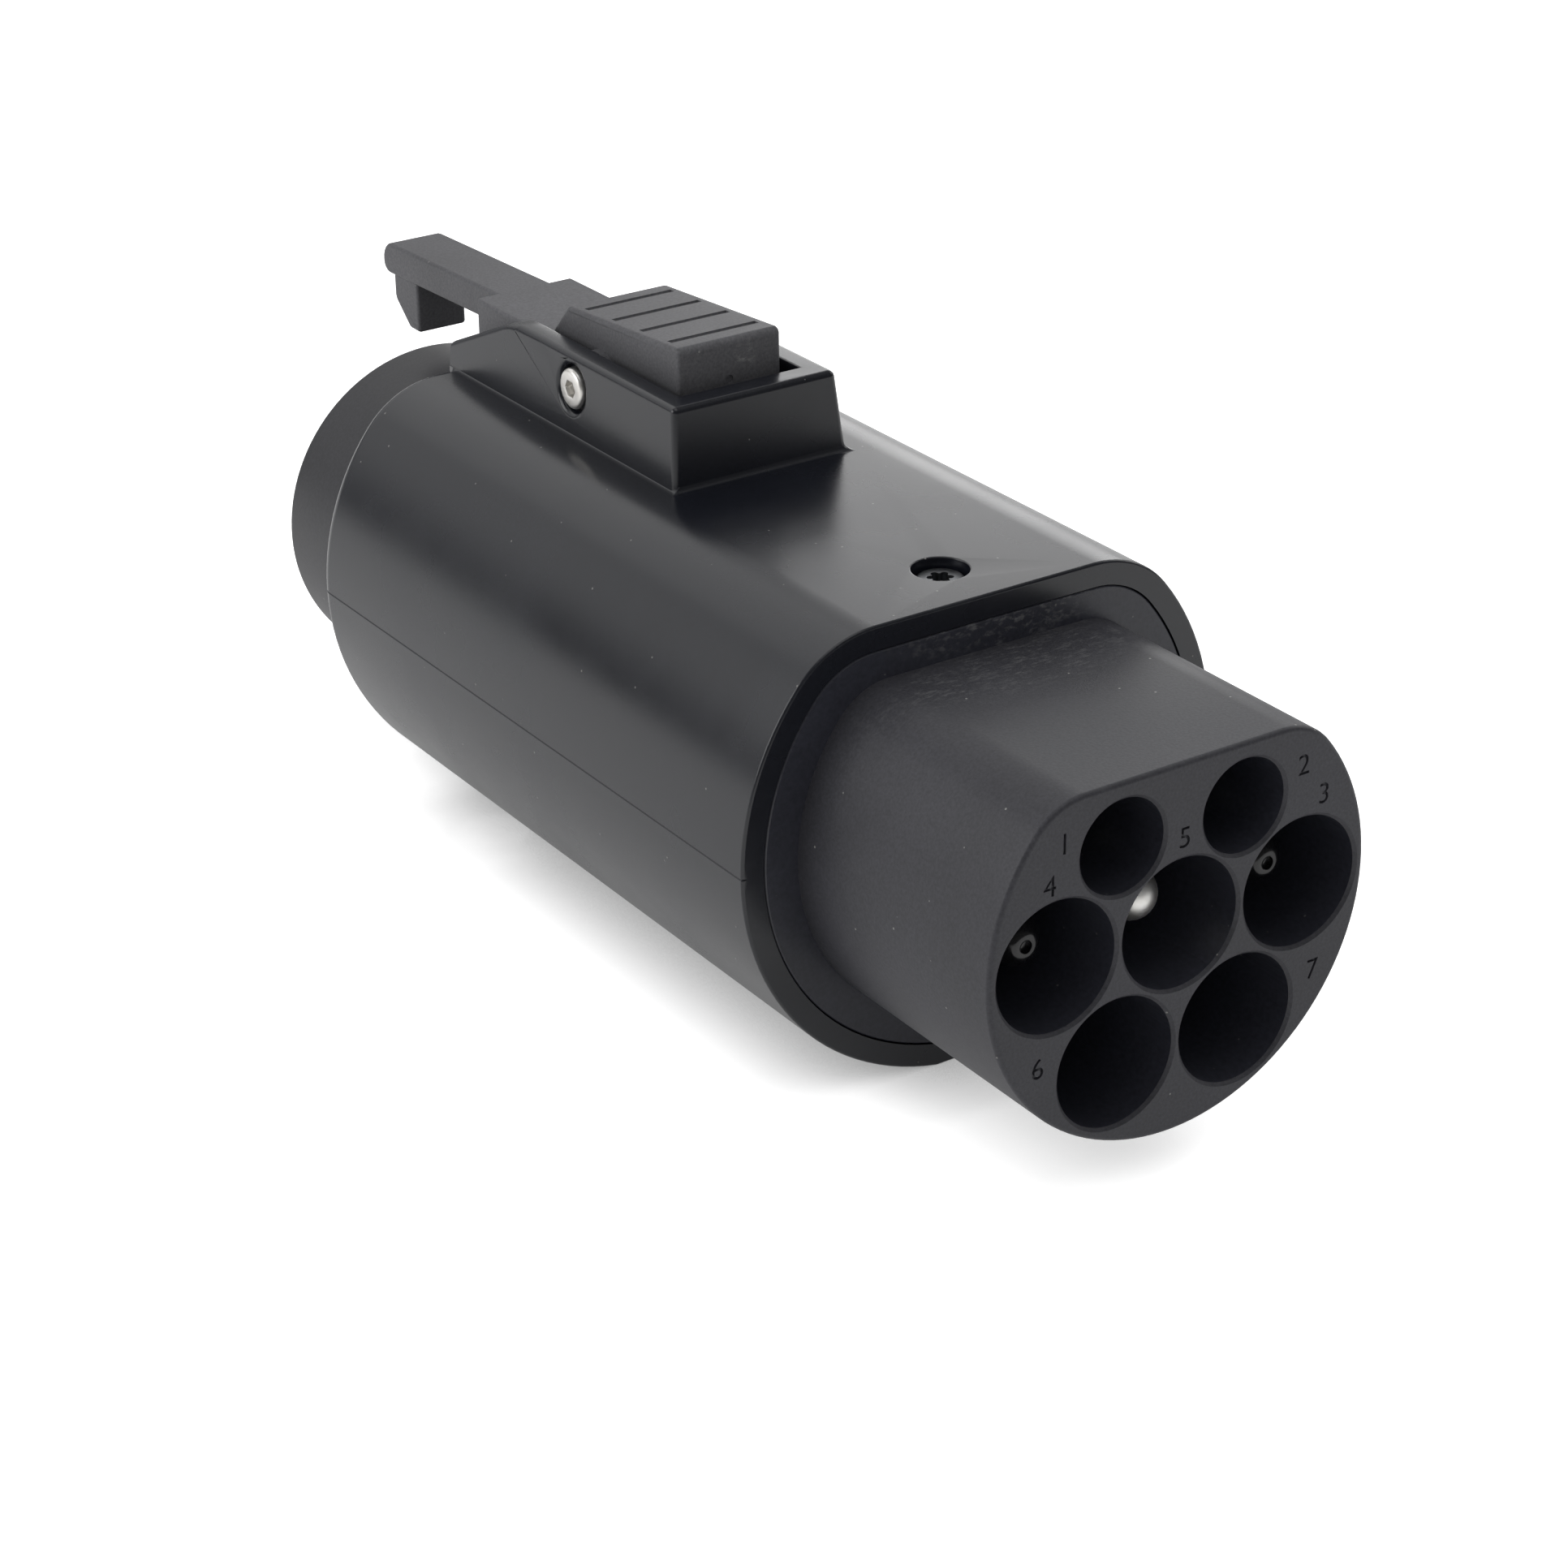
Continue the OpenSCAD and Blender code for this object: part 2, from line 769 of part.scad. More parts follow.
// The insulator of the plug with five stepped holes
module plug_core() {
    core_r = barrel_r - barrel_wall - snug;
    color("#26262a")
    difference() {
        bar_x(core_x, plug_back_x, core_r, [0, barrel_z]);
        for (at = [plug_line_at, plug_neutral_at, plug_earth_at])
            socket_hole(at, entry_r, socket_r, collar_r);
        for (at = [plug_pilot_at, plug_proximity_at])
            socket_hole(at, signal_entry_r, signal_socket_r, signal_collar_r);
        for (side = [-1, 1])
            bar_x(plug_back_x - small_shank_length + retainer_thick - 2 * snug, plug_back_x + over,
                small_shank_r + snug, [side * core_screw_y, barrel_z]);
    }
}

// A hole of the core: entry, seat of the socket, seat of its collar
module socket_hole(at, mouth_r, r, seat_r) {
    bar_x(core_x - over, socket_x, mouth_r, at);
    bar_x(core_x - over, plug_back_x + over, r + snug, at);
    bar_x(plug_back_x - collar_thick, plug_back_x + over, seat_r + snug, at);
}

// The plate behind the core that holds the sockets
module socket_retainer() {
    plate_r = barrel_r - retainer_margin;
    color("#c9c4b4")
    difference() {
        bar_x(plug_back_x, plug_back_x + retainer_thick, plate_r, [0, barrel_z]);
        for (at = [plug_line_at, plug_neutral_at, plug_earth_at])
            bar_x(plug_back_x - over, plug_back_x + retainer_thick + over, tail_r + snug, at);
        for (at = [plug_pilot_at, plug_proximity_at])
            bar_x(plug_back_x - over, plug_back_x + retainer_thick + over, signal_tail_r + snug, at);
        for (side = [-1, 1])
            bar_x(plug_back_x - over, plug_back_x + retainer_thick + over, small_shank_r + snug,
                [side * core_screw_y, barrel_z]);
    }
}

// The two screws of the socket retainer
module socket_retainer_screws() {
    color("silver")
    for (side = [-1, 1])
        small_screw_x(plug_back_x + retainer_thick, [side * core_screw_y, barrel_z], -1);
}

// A female contact: tube with its bore, collar and crimp tail
module socket(at, r, bore_r, bore_depth, seat_r, back_r, tail, core_r, depth) {
    back = plug_back_x + tail;
    difference() {
        union() {
            bar_x(socket_x, plug_back_x, r, at);
            bar_x(plug_back_x - collar_thick, plug_back_x, seat_r, at);
            bar_x(plug_back_x, back, back_r, at);
        }
        bar_x(socket_x - over, socket_x + bore_depth, bore_r, at);
        bar_x(back - depth, back + over, core_r + snug, at);
    }
}

module power_socket(at, bore_r) {
    color("#c8a456")
    socket(at, socket_r, bore_r, socket_bore_depth, collar_r, tail_r, power_tail,
        conductor_r, crimp_depth);
}

module signal_socket(at) {
    color("#c8a456")
    socket(at, signal_socket_r, signal_bore_r, signal_bore_depth, signal_collar_r, signal_tail_r,
        signal_tail, signal_conductor_r, signal_crimp_depth);
}

module line_socket() {
    power_socket(plug_line_at, power_bore_r);
}

module neutral_socket() {
    power_socket(plug_neutral_at, power_bore_r);
}

module earth_socket() {
    power_socket(plug_earth_at, earth_bore_r);
}

module pilot_socket() {
    signal_socket(plug_pilot_at);
}

module proximity_socket() {
    signal_socket(plug_proximity_at);
}

// Points on an S-shaped curve along X between two places, bowed sideways in the middle
function s_curve(from, to, bow) =
    [for (i = [0:wire_steps])
        let (t = i / wire_steps, share = t * t * (3 - 2 * t))
        [from[0] + (to[0] - from[0]) * t,
            from[1] + (to[1] - from[1]) * share + bow * pow(sin(180 * t), 2),
            from[2] + (to[2] - from[2]) * share]];

// A tube along points that never run straight up, with a radius for each point
module tube(points, radii, sides) {
    n = len(points);
    rings = [for (i = [0:n - 1])
        let (way = unit(points[min(i + 1, n - 1)] - points[max(i - 1, 0)]),
            flat = unit(cross(way, [0, 0, 1])),
            rise = cross(flat, way))
        for (k = [0:sides - 1])
            points[i] + radii[i] * (cos(360 * k / sides) * flat + sin(360 * k / sides) * rise)];
    walls = [for (i = [0:n - 2], k = [0:sides - 1])
        let (next = (k + 1) % sides, low = i * sides, high = low + sides)
        each [[low + k, high + k, high + next], [low + k, high + next, low + next]]];
    first = [for (k = [0:sides - 1]) k];
    last = [for (k = [0:sides - 1]) n * sides - 1 - k];
    polyhedron(points = rings, faces = concat([first], walls, [last]), convexity = 4);
}

// A wire between two places, with a bare end of a given length where that length is not zero
module wire(from, to, bow, r, bare_r, bare_start, bare_end, sides) {
    points = s_curve(from, to, bow);
    start = bare_start > 0 ? [from + [bare_start, 0, 0], from] : [];
    end = bare_end > 0 ? [to, to - [bare_end, 0, 0]] : [];
    radii = concat([for (p = start) bare_r], [for (p = points) r], [for (p = end) bare_r]);
    tube(concat(start, points, end), radii, sides);
}

// The place just behind a crimp, on the side of the middle of the adapter
function behind(x, at, way) = [x + way * fit, at[0], at[1]];

// A place under the board, at a distance behind its front edge
function pad(y, distance) = [board_front_x - distance, y, pad_z];

// A power wire between two crimps
module power_wire(from, to) {
    wire(behind(inlet_power_x, from, -1), behind(plug_power_x, to, 1), 0,
        power_wire_r, conductor_r, power_bare, power_bare, power_wire_sides);
}

module line_wire() {
    color("#7a4a26")
    power_wire(line_at, plug_line_at);
}

module neutral_wire() {
    color("#2f5fa8")
    power_wire(neutral_at, plug_neutral_at);
}

module earth_wire() {
    color("#4c8f3a")
    power_wire(earth_at, plug_earth_at);
}

// The pilot wire runs inside the neutral wire
module pilot_wire() {
    color("#d8d4c8")
    wire(behind(inlet_signal_x, pilot_at, -1), behind(plug_signal_x, plug_pilot_at, 1), pilot_bow,
        signal_wire_r, signal_conductor_r, signal_bare, signal_bare, signal_wire_sides);
}

// The wire from the proximity pin is soldered to the underside of the board
module proximity_wire() {
    color("#b8322c")
    wire(behind(inlet_signal_x, proximity_at, -1), pad(-pad_y, pad_in), 0,
        signal_wire_r, signal_conductor_r, signal_bare, 0, signal_wire_sides);
}

// The wire from the board to the proximity socket runs inside the line wire
module proximity_link_wire() {
    color("#b8322c")
    wire(pad(-pad_y, link_pad_in), behind(plug_signal_x, plug_proximity_at, 1), proximity_bow,
        signal_wire_r, signal_conductor_r, 0, signal_bare, signal_wire_sides);
}

// The board's earth wire ends on the crimp tail of the earth pin
module board_earth_wire() {
    solder_z = tail_r + signal_wire_r + 2 * fit;
    color("#4c8f3a")
    wire(pad(pad_y, earth_pad_in), [inlet_power_x + solder_in, 0, solder_z], 0,
        signal_wire_r, signal_conductor_r, 0, 0, signal_wire_sides);
}

// The small board that hangs from two posts of the upper shell
module circuit_board() {
    color("#1f5a37")
    difference() {
        translate([board_front_x - board_length, -board_half, board_z])
            cube([board_length, 2 * board_half, board_thick]);
        for (x = board_screw_xs)
            bar_z(board_z - over, board_z + board_thick + over, small_shank_r + snug, [x, 0]);
    }
}

// Two resistors that lie on the board
module board_resistors() {
    body_r = 1.15;
    body_length = 6.3;
    body_y = 5;
    for (side = [-1, 1])
        color("#b9a27a")
        translate([board_front_x - (board_length + body_length) / 2, side * body_y,
            board_z + board_thick + body_r])
            rotate([0, 90, 0])
                cylinder(r = body_r, h = body_length);
}

// The two screws of the board, put in from below
module board_screws() {
    color("silver")
    for (x = board_screw_xs) {
        bar_z(board_z - small_head_h, board_z, small_head_r, [x, 0]);
        bar_z(board_z, board_z + board_shank_length, small_shank_r, [x, 0]);
    }
}

// A gasket that lies against a flange, with a round or a block-shaped opening
module front_seal() {
    color("#1a1a1a")
    along_x(front_rib_x, flange_back_x)
        difference() {
            case_outline(shell_wall + fit);
            block_outline(fit);
        }
}

module rear_seal() {
    color("#1a1a1a")
    difference() {
        along_x(end_inner_x, plug_flange_x)
            case_outline(shell_wall + fit);
        bar_x(end_inner_x - over, plug_flange_x + over, barrel_seat_r + fit, [0, barrel_z]);
    }
}

// A case screw with its seat at the origin, its head above and a six-lobed socket
module case_screw() {
    lobe_r = 0.45;
    lobe_ring = 1.05;
    socket_h = 1.1;
    difference() {
        union() {
            cylinder(r = case_head_r, h = case_head_h);
            translate([0, 0, -case_shank_length])
                cylinder(r = case_shank_r, h = case_shank_length);
        }
        translate([0, 0, case_head_h - socket_h]) {
            cylinder(r = lobe_ring, h = socket_h + over);
            for (a = [0:60:300])
                rotate([0, 0, a])
                    translate([lobe_ring, 0, 0])
                        cylinder(r = lobe_r, h = socket_h + over);
        }
    }
}

// Four case screws: one in the flat top, three in the underside
module case_screws() {
    color("#29292b") {
        translate([-case_screw_back, 0, top_seat_z])
            case_screw();
        translate([-case_screw_back, 0, foot_seat_z])
            mirror([0, 0, 1])
                case_screw();
        for (side = [-1, 1])
            translate([side_screw_x, side * side_screw_y, column_seat_z])
                mirror([0, 0, 1])
                    case_screw();
    }
}

// The side profile of the button and the broad part of the lever, in X and Z
module lever_profile() {
    polygon(rounded([[button_front_x, button_bottom, lever_corner],
        [button_front_x, button_top, lever_corner],
        [button_end_x, button_top - button_fall, lever_corner],
        [button_foot_x, plate_top, lever_corner],
        [plate_end_x, plate_top - plate_fall, 0],
        [plate_end_x, lever_bottom, lever_corner],
        [pivot_x, lever_bottom, 0]]));
}

// The side profile of the narrow arm with its nose, and the fillet where it meets the broad part
module arm_profile() {
    root_x = plate_end_x + over;
    root_bottom = arm_end_bottom - over;
    polygon(rounded([[root_x, plate_top - plate_fall, 0],
        [nose_x, arm_end_top, nose_top_r],
        [nose_x, arm_end_bottom, nose_bottom_r],
        [plate_end_x, arm_end_bottom + arm_fall, arm_fillet],
        [plate_end_x, root_bottom, 0],
        [root_x, root_bottom, 0]]));
}

// The side profile of the hook below the arm
module hook_profile() {
    root_z = arm_end_bottom + over;
    polygon(rounded([[nose_x + hook_back, root_z, 0],
        [nose_x + hook_back, arm_end_bottom - hook_shoulder, nose_bottom_r],
        [hook_face_x - hook_tip, hook_bottom, lever_corner],
        [hook_face_x, hook_bottom, lever_corner / 2],
        [hook_face_x, root_z, 0]]));
}

// A profile in X and Z made a plate of a half width in Y
module across_y(half_width) {
    translate([0, half_width, 0])
        rotate([90, 0, 0])
            linear_extrude(2 * half_width)
                children();
}

// Button, lever, arm and hook in one piece, with the pivot bore and the spring pocket
module latch_lever() {
    fall_angle = atan(button_fall / button_length);
    color("#39393c")
    difference() {
        union() {
            across_y(lever_half)
                lever_profile();
            across_y(arm_half)
                arm_profile();
            across_y(hook_half)
                hook_profile();
            translate([pivot_x, hub_half, pivot_z])
                rotate([90, 0, 0])
                    cylinder(r = hub_r, h = 2 * hub_half);
        }
        translate([pivot_x, hub_half + over, pivot_z])
            rotate([90, 0, 0])
                cylinder(r = pivot_r + pivot_clear, h = 2 * (hub_half + over));
        bar_z(deck_z, spring_top_z, spring_pocket_r, [spring_x, 0]);
        for (i = [0:groove_count - 1])
            translate([button_front_x, 0, button_top])
                rotate([0, -fall_angle, 0])
                    translate([-groove_first - i * groove_pitch, 0, 0])
                        rotate([90, 0, 0])
                            translate([0, 0, -groove_half])
                                cylinder(r = groove_r, h = 2 * groove_half);
    }
}

// The pivot screw: a socket head in the recess, a plain shank, and its end in the far wall
module pivot_screw() {
    color("#c4c2be")
    difference() {
        union() {
            translate([pivot_x, pivot_seat_y, pivot_z])
                rotate([90, 0, 0])
                    cylinder(r = pivot_head_r, h = pivot_head_h);
            translate([pivot_x, pivot_tip_y, pivot_z])
                rotate([90, 0, 0])
                    cylinder(r = pivot_r, h = pivot_tip_y - pivot_seat_y + pivot_head_h / 2);
        }
        translate([pivot_x, pivot_seat_y - pivot_head_h + pivot_hex_depth, pivot_z])
            rotate([90, 0, 0])
                cylinder(r = pivot_hex_r, h = pivot_hex_depth + over, $fn = 6);
    }
}

// The compression spring between the deck and the button
module latch_spring() {
    per_turn = 14;
    count = spring_turns * per_turn;
    low = deck_z + spring_wire_r + snug;
    high = spring_top_z - spring_wire_r - snug;
    points = [for (i = [0:count])
        let (turn = 360 * i / per_turn, t = i / count)
        [spring_x + spring_r * cos(turn), spring_r * sin(turn),
            low + (high - low) * (t * t * (3 - 2 * t))]];
    color("#b8b8b4")
    tube(points, [for (p = points) spring_wire_r], signal_wire_sides);
}

upper_shell();
lower_shell();
inlet_block();
contact_retainer();
retainer_screws();
earth_pin();
line_pin();
neutral_pin();
line_pin_cap();
neutral_pin_cap();
pilot_pin();
proximity_pin();
plug_barrel();
plug_core();
socket_retainer();
socket_retainer_screws();
line_socket();
neutral_socket();
earth_socket();
pilot_socket();
proximity_socket();
line_wire();
neutral_wire();
earth_wire();
pilot_wire();
proximity_wire();
proximity_link_wire();
board_earth_wire();
circuit_board();
board_resistors();
board_screws();
front_seal();
rear_seal();
case_screws();
latch_lever();
pivot_screw();
latch_spring();
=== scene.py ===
import bmesh
import bpy
from math import cos, hypot, pi, radians, sin
from mathutils import Matrix, Vector


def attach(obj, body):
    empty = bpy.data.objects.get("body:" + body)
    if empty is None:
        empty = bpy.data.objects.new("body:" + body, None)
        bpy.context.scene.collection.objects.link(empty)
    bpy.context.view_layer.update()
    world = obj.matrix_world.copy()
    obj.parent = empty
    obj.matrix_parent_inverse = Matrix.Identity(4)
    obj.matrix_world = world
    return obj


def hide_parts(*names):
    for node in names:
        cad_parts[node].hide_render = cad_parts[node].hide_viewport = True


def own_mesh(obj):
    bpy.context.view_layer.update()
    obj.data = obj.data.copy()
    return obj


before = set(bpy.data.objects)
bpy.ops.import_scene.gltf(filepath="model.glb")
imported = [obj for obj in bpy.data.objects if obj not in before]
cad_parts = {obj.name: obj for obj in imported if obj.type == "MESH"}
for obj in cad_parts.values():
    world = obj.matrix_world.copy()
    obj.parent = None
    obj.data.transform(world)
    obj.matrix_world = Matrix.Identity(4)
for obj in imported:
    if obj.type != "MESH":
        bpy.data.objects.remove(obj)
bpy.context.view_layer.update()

# The adapter lies along X with its inlet face at x = 0, Z up, in metres
MM = 0.001

# Stations and radii of the CAD model, in millimetres
CASE_FRONT = -33.8
CASE_END = -129.6
CASE_R = 31.8
DECK_Z = 24.9
CASE_CORNER_R = 13
BLOCK_R = 24.7
BLOCK_TOP = 18.6
BLOCK_CORNER_R = 8
BARREL_Z = -4.9
BARREL_R = 21.9
BARREL_RIM = -158.3
HOUSING_HALF = 11.9
HOUSING_FRONT = -77.3
BUTTON_FRONT = -83.7
BUTTON_HALF = 7
ARM_HALF = 3.9
HOOK_HALF = 3.5
CASE_SCREW_X = -42.4
SIDE_SCREW_X = -113
SIDE_SCREW_Y = 18
SCREW_HEAD_R = 2.8
SCREW_RECESS_R = 3.2
PIVOT_X = -100.7
PIVOT_Z = 30.45
# The screw's head and its socket both lie beyond this, on the near side of the housing
PIVOT_HEAD_Y = -11
# Mark that the sprue leaves low on the button's front
GATE_R = 0.5
GATE_DEPTH = 0.2
GATE_Y = -0.12
GATE_Z = 34.35
FOOT_Z = -31.2
# Half width that takes in the channel of the latch housing and its walls' inner edges
CHANNEL_HALF = 8.4
CORE_RECESS = 1.6
# Contacts: their pitch, the rows of wells above and below them, and the touch-safe caps
PIN_PITCH = 16
LOWER_ROW_Z = -13.856
SIGNAL_Y = 7.93
SIGNAL_ROW_Z = 11.2
POWER_WELL_R = 7.5
SIGNAL_WELL_R = 5.35
CAP_R = 3
CAP_NOSE_R = 1.5
CAP_DIMPLE_R = 0.7
CAP_TIP_X = -5.2
# Chamfer at the mouth of each well, and the plain figures beside them
WELL_CHAMFER = 0.35
FIGURE_SIZE = 3.4
FIGURE_DEPTH = 0.3
# Roundings of the case's edges
RIM_ROUND = 0.35
END_ROUND = 2.3
PARTING_ROUND = 0.12
RECESS_ROUND = 0.25
MIDDLE = Vector((-80.8, 0, 4)) * MM
# Edges that turn less than this are left as they are, and are shaded smooth
SHARP_ANGLE = radians(32)
# Faces that turn less than this are merged into one
FLAT_ANGLE = radians(0.4)
# Vertices closer than this are one
SAME_PLACE = 0.002 * MM
# Patterns in the materials: cloudy patches, the cells that may hold a speck of dust, the
# strokes of a rub along X, Y and Z, the patches where rubs gather, and a metal's patina
CLOUD_SIZE = 22
SPECK_CELL = 3.5
STROKE_SIZE = (0.4, 1.4, 0.7)
RUB_PATCH = 9
PATINA_SIZE = 1.8
WIRE_WAVE = 1.5
DUST_COLOUR = "#a5a4a0"
RUBBED_COLOUR = "#7c7c7c"


def colour(code):
    """An sRGB hex colour as a linear one for a shader."""
    parts = [int(code[i:i + 2], 16) / 255 for i in (1, 3, 5)]
    return [p / 12.92 if p <= 0.04045 else ((p + 0.055) / 1.055) ** 2.4 for p in parts] + [1]


def add_node(tree, kind, inputs=None, **settings):
    """Adds a node, sets its settings, and gives each named input a value or a link."""
    node = tree.nodes.new(kind)
    for name, value in settings.items():
        setattr(node, name, value)
    for name, value in (inputs or {}).items():
        if isinstance(value, bpy.types.NodeSocket):
            tree.links.new(value, node.inputs[name])
        else:
            node.inputs[name].default_value = value
    return node


def new_material(name):
    """A material with a Principled shader, and its Object coordinates."""
    material = bpy.data.materials.new(name)
    material.use_nodes = True
    tree = material.node_tree
    shader = tree.nodes["Principled BSDF"]
    place = add_node(tree, "ShaderNodeTexCoord").outputs["Object"]
    return material, tree, shader, place


def moulded_plastic(name, shade, ior, sheen, gloss, grain_mm, relief_mm, specks, handling=0,
                    rub=None):
    """A thermoplastic moulded in a spark-eroded steel tool. The tool's grain gives a fine
    even sparkle, the melt a faint cloudiness, and use leaves specks of dust and pale rubs.
    The handling is the strength of the rubs all over, and the rub is a box in millimetres
    where more of them gather, with their strength there."""
    material, tree, shader, place = new_material(name)
    grain = add_node(tree, "ShaderNodeTexNoise", {
        "Vector": place, "Scale": 1 / (grain_mm * MM), "Detail": 3, "Roughness": 0.6})
    cloud = add_node(tree, "ShaderNodeTexNoise", {
        "Vector": place, "Scale": 1 / (CLOUD_SIZE * MM), "Detail": 4, "Roughness": 0.55})
    tone = add_node(tree, "ShaderNodeMapRange", {
        "Value": cloud.outputs["Fac"], "From Min": 0.3, "From Max": 0.7,
        "To Min": 0.84, "To Max": 1.16})
    sparkle = add_node(tree, "ShaderNodeMapRange", {
        "Value": grain.outputs["Fac"], "From Min": 0.3, "From Max": 0.7,
        "To Min": 0.8, "To Max": 1.2})
    level = add_node(tree, "ShaderNodeMath", {
        0: tone.outputs["Result"], 1: sparkle.outputs["Result"]}, operation="MULTIPLY")
    body = add_node(tree, "ShaderNodeVectorMath", {
        0: colour(shade)[:3], "Scale": level.outputs["Value"]}, operation="SCALE")
    # Specks of dust, one in some of the cells
    cells = add_node(tree, "ShaderNodeTexVoronoi", {
        "Vector": place, "Scale": 1 / (SPECK_CELL * MM)}, feature="F1")
    speck = add_node(tree, "ShaderNodeMapRange", {
        "Value": cells.outputs["Distance"], "From Min": 0.028, "From Max": 0.045,
        "To Min": specks, "To Max": 0})
    dusted = add_node(tree, "ShaderNodeMix", {
        "Factor": speck.outputs["Result"], "A": body.outputs["Vector"],
        "B": colour(DUST_COLOUR)[:3]}, data_type="VECTOR")
    result = dusted.outputs["Result"]
    polish = add_node(tree, "ShaderNodeMapRange", {
        "Value": cloud.outputs["Fac"], "From Min": 0.25, "From Max": 0.75,
        "To Min": gloss - 0.04, "To Max": gloss + 0.05})
    # Pale rubs: short strokes that run round the part, thinned out by a coarse noise
    strokes = add_node(tree, "ShaderNodeMapping", {
        "Vector": place, "Scale": [1 / (size * MM) for size in STROKE_SIZE]})
    fibres = add_node(tree, "ShaderNodeTexNoise", {
        "Vector": strokes.outputs["Vector"], "Scale": 1, "Detail": 5, "Roughness": 0.7})
    patch = add_node(tree, "ShaderNodeTexNoise", {
        "Vector": place, "Scale": 1 / (RUB_PATCH * MM), "Detail": 2})
    thin = add_node(tree, "ShaderNodeMapRange", {
        "Value": fibres.outputs["Fac"], "From Min": 0.5, "From Max": 0.7})
    spread = add_node(tree, "ShaderNodeMapRange", {
        "Value": patch.outputs["Fac"], "From Min": 0.52, "From Max": 0.66,
        "To Max": handling})
    amount = add_node(tree, "ShaderNodeMath", {
        0: thin.outputs["Result"], 1: spread.outputs["Result"]}, operation="MULTIPLY")
    amount = amount.outputs["Value"]
    if rub:
        low, high, strength = rub
        centre = add_node(tree, "ShaderNodeVectorMath", {
            0: place, 1: [(a + b) / 2 * MM for a, b in zip(low, high)]},
            operation="SUBTRACT")
        scaled = add_node(tree, "ShaderNodeVectorMath", {
            0: centre.outputs["Vector"],
            1: [2 / ((b - a) * MM) for a, b in zip(low, high)]}, operation="MULTIPLY")
        reach = add_node(tree, "ShaderNodeVectorMath", {
            0: scaled.outputs["Vector"]}, operation="LENGTH")
        zone = add_node(tree, "ShaderNodeMapRange", {
            "Value": reach.outputs["Value"], "From Min": 0.5, "From Max": 1.0,
            "To Min": strength, "To Max": 0})
        worn = add_node(tree, "ShaderNodeMath", {
            0: thin.outputs["Result"], 1: zone.outputs["Result"]}, operation="MULTIPLY")
        amount = add_node(tree, "ShaderNodeMath", {
            0: amount, 1: worn.outputs["Value"]}, operation="MAXIMUM").outputs["Value"]
    rubbed = add_node(tree, "ShaderNodeMix", {
        "Factor": amount, "A": result, "B": colour(RUBBED_COLOUR)[:3]}, data_type="VECTOR")
    rougher = add_node(tree, "ShaderNodeMath", {
        0: polish.outputs["Result"], 1: amount}, operation="ADD")
    bump = add_node(tree, "ShaderNodeBump", {
        "Height": grain.outputs["Fac"], "Distance": relief_mm * MM, "Strength": 1})
    tree.links.new(rubbed.outputs["Result"], shader.inputs["Base Color"])
    tree.links.new(rougher.outputs["Value"], shader.inputs["Roughness"])
    tree.links.new(bump.outputs["Normal"], shader.inputs["Normal"])
    shader.inputs["IOR"].default_value = ior
    shader.inputs["Specular IOR Level"].default_value = sheen
    return material


def worked_metal(name, shade, stain, gloss, mark_mm, stretch, relief_mm):
    """A metal part. The stretch gives the marks of its making: along one axis for a drawn
    or turned surface, even for a plated or blasted one."""
    material, tree, shader, place = new_material(name)
    drawn = add_node(tree, "ShaderNodeMapping", {
        "Vector": place, "Scale": [s / (mark_mm * MM) for s in stretch]})
    marks = add_node(tree, "ShaderNodeTexNoise", {
        "Vector": drawn.outputs["Vector"], "Scale": 1, "Detail": 4, "Roughness": 0.6})
    patina = add_node(tree, "ShaderNodeTexNoise", {
        "Vector": place, "Scale": 1 / (PATINA_SIZE * MM), "Detail": 3})
    share = add_node(tree, "ShaderNodeMapRange", {
        "Value": patina.outputs["Fac"], "From Min": 0.42, "From Max": 0.7, "To Max": 0.7})
    tint = add_node(tree, "ShaderNodeMix", {
        "Factor": share.outputs["Result"], "A": colour(shade)[:3],
        "B": colour(stain)[:3]}, data_type="VECTOR")
    finish = add_node(tree, "ShaderNodeMapRange", {
        "Value": marks.outputs["Fac"], "From Min": 0.3, "From Max": 0.7,
        "To Min": gloss - 0.06, "To Max": gloss + 0.08})
    bump = add_node(tree, "ShaderNodeBump", {
        "Height": marks.outputs["Fac"], "Distance": relief_mm * MM, "Strength": 1})
    tree.links.new(tint.outputs["Result"], shader.inputs["Base Color"])
    tree.links.new(finish.outputs["Result"], shader.inputs["Roughness"])
    tree.links.new(bump.outputs["Normal"], shader.inputs["Normal"])
    shader.inputs["Metallic"].default_value = 1
    return material


def extruded_insulation(name, shade):
    """Soft PVC drawn over a copper strand: smooth, faintly wavy along its length."""
    material, tree, shader, place = new_material(name)
    wave = add_node(tree, "ShaderNodeTexNoise", {
        "Vector": place, "Scale": 1 / (WIRE_WAVE * MM), "Detail": 2})
    tone = add_node(tree, "ShaderNodeMapRange", {
        "Value": wave.outputs["Fac"], "To Min": 0.8, "To Max": 1.15})
    body = add_node(tree, "ShaderNodeVectorMath", {
        0: colour(shade)[:3], "Scale": tone.outputs["Result"]}, operation="SCALE")
    finish = add_node(tree, "ShaderNodeMapRange", {
        "Value": wave.outputs["Fac"], "To Min": 0.35, "To Max": 0.5})
    bump = add_node(tree, "ShaderNodeBump", {
        "Height": wave.outputs["Fac"], "Distance": 0.05 * MM, "Strength": 1})
    tree.links.new(body.outputs["Vector"], shader.inputs["Base Color"])
    tree.links.new(finish.outputs["Result"], shader.inputs["Roughness"])
    tree.links.new(bump.outputs["Normal"], shader.inputs["Normal"])
    shader.inputs["IOR"].default_value = 1.53
    return material


# PC and ABS blend, satin: the case. Real grain is about 0.15 mm; 0.4 mm shows in the render
case_plastic = moulded_plastic("pc_abs_case_satin_moulded", "#16181f", 1.57, 0.5, 0.26,
                               0.4, 0.002, 0.4)
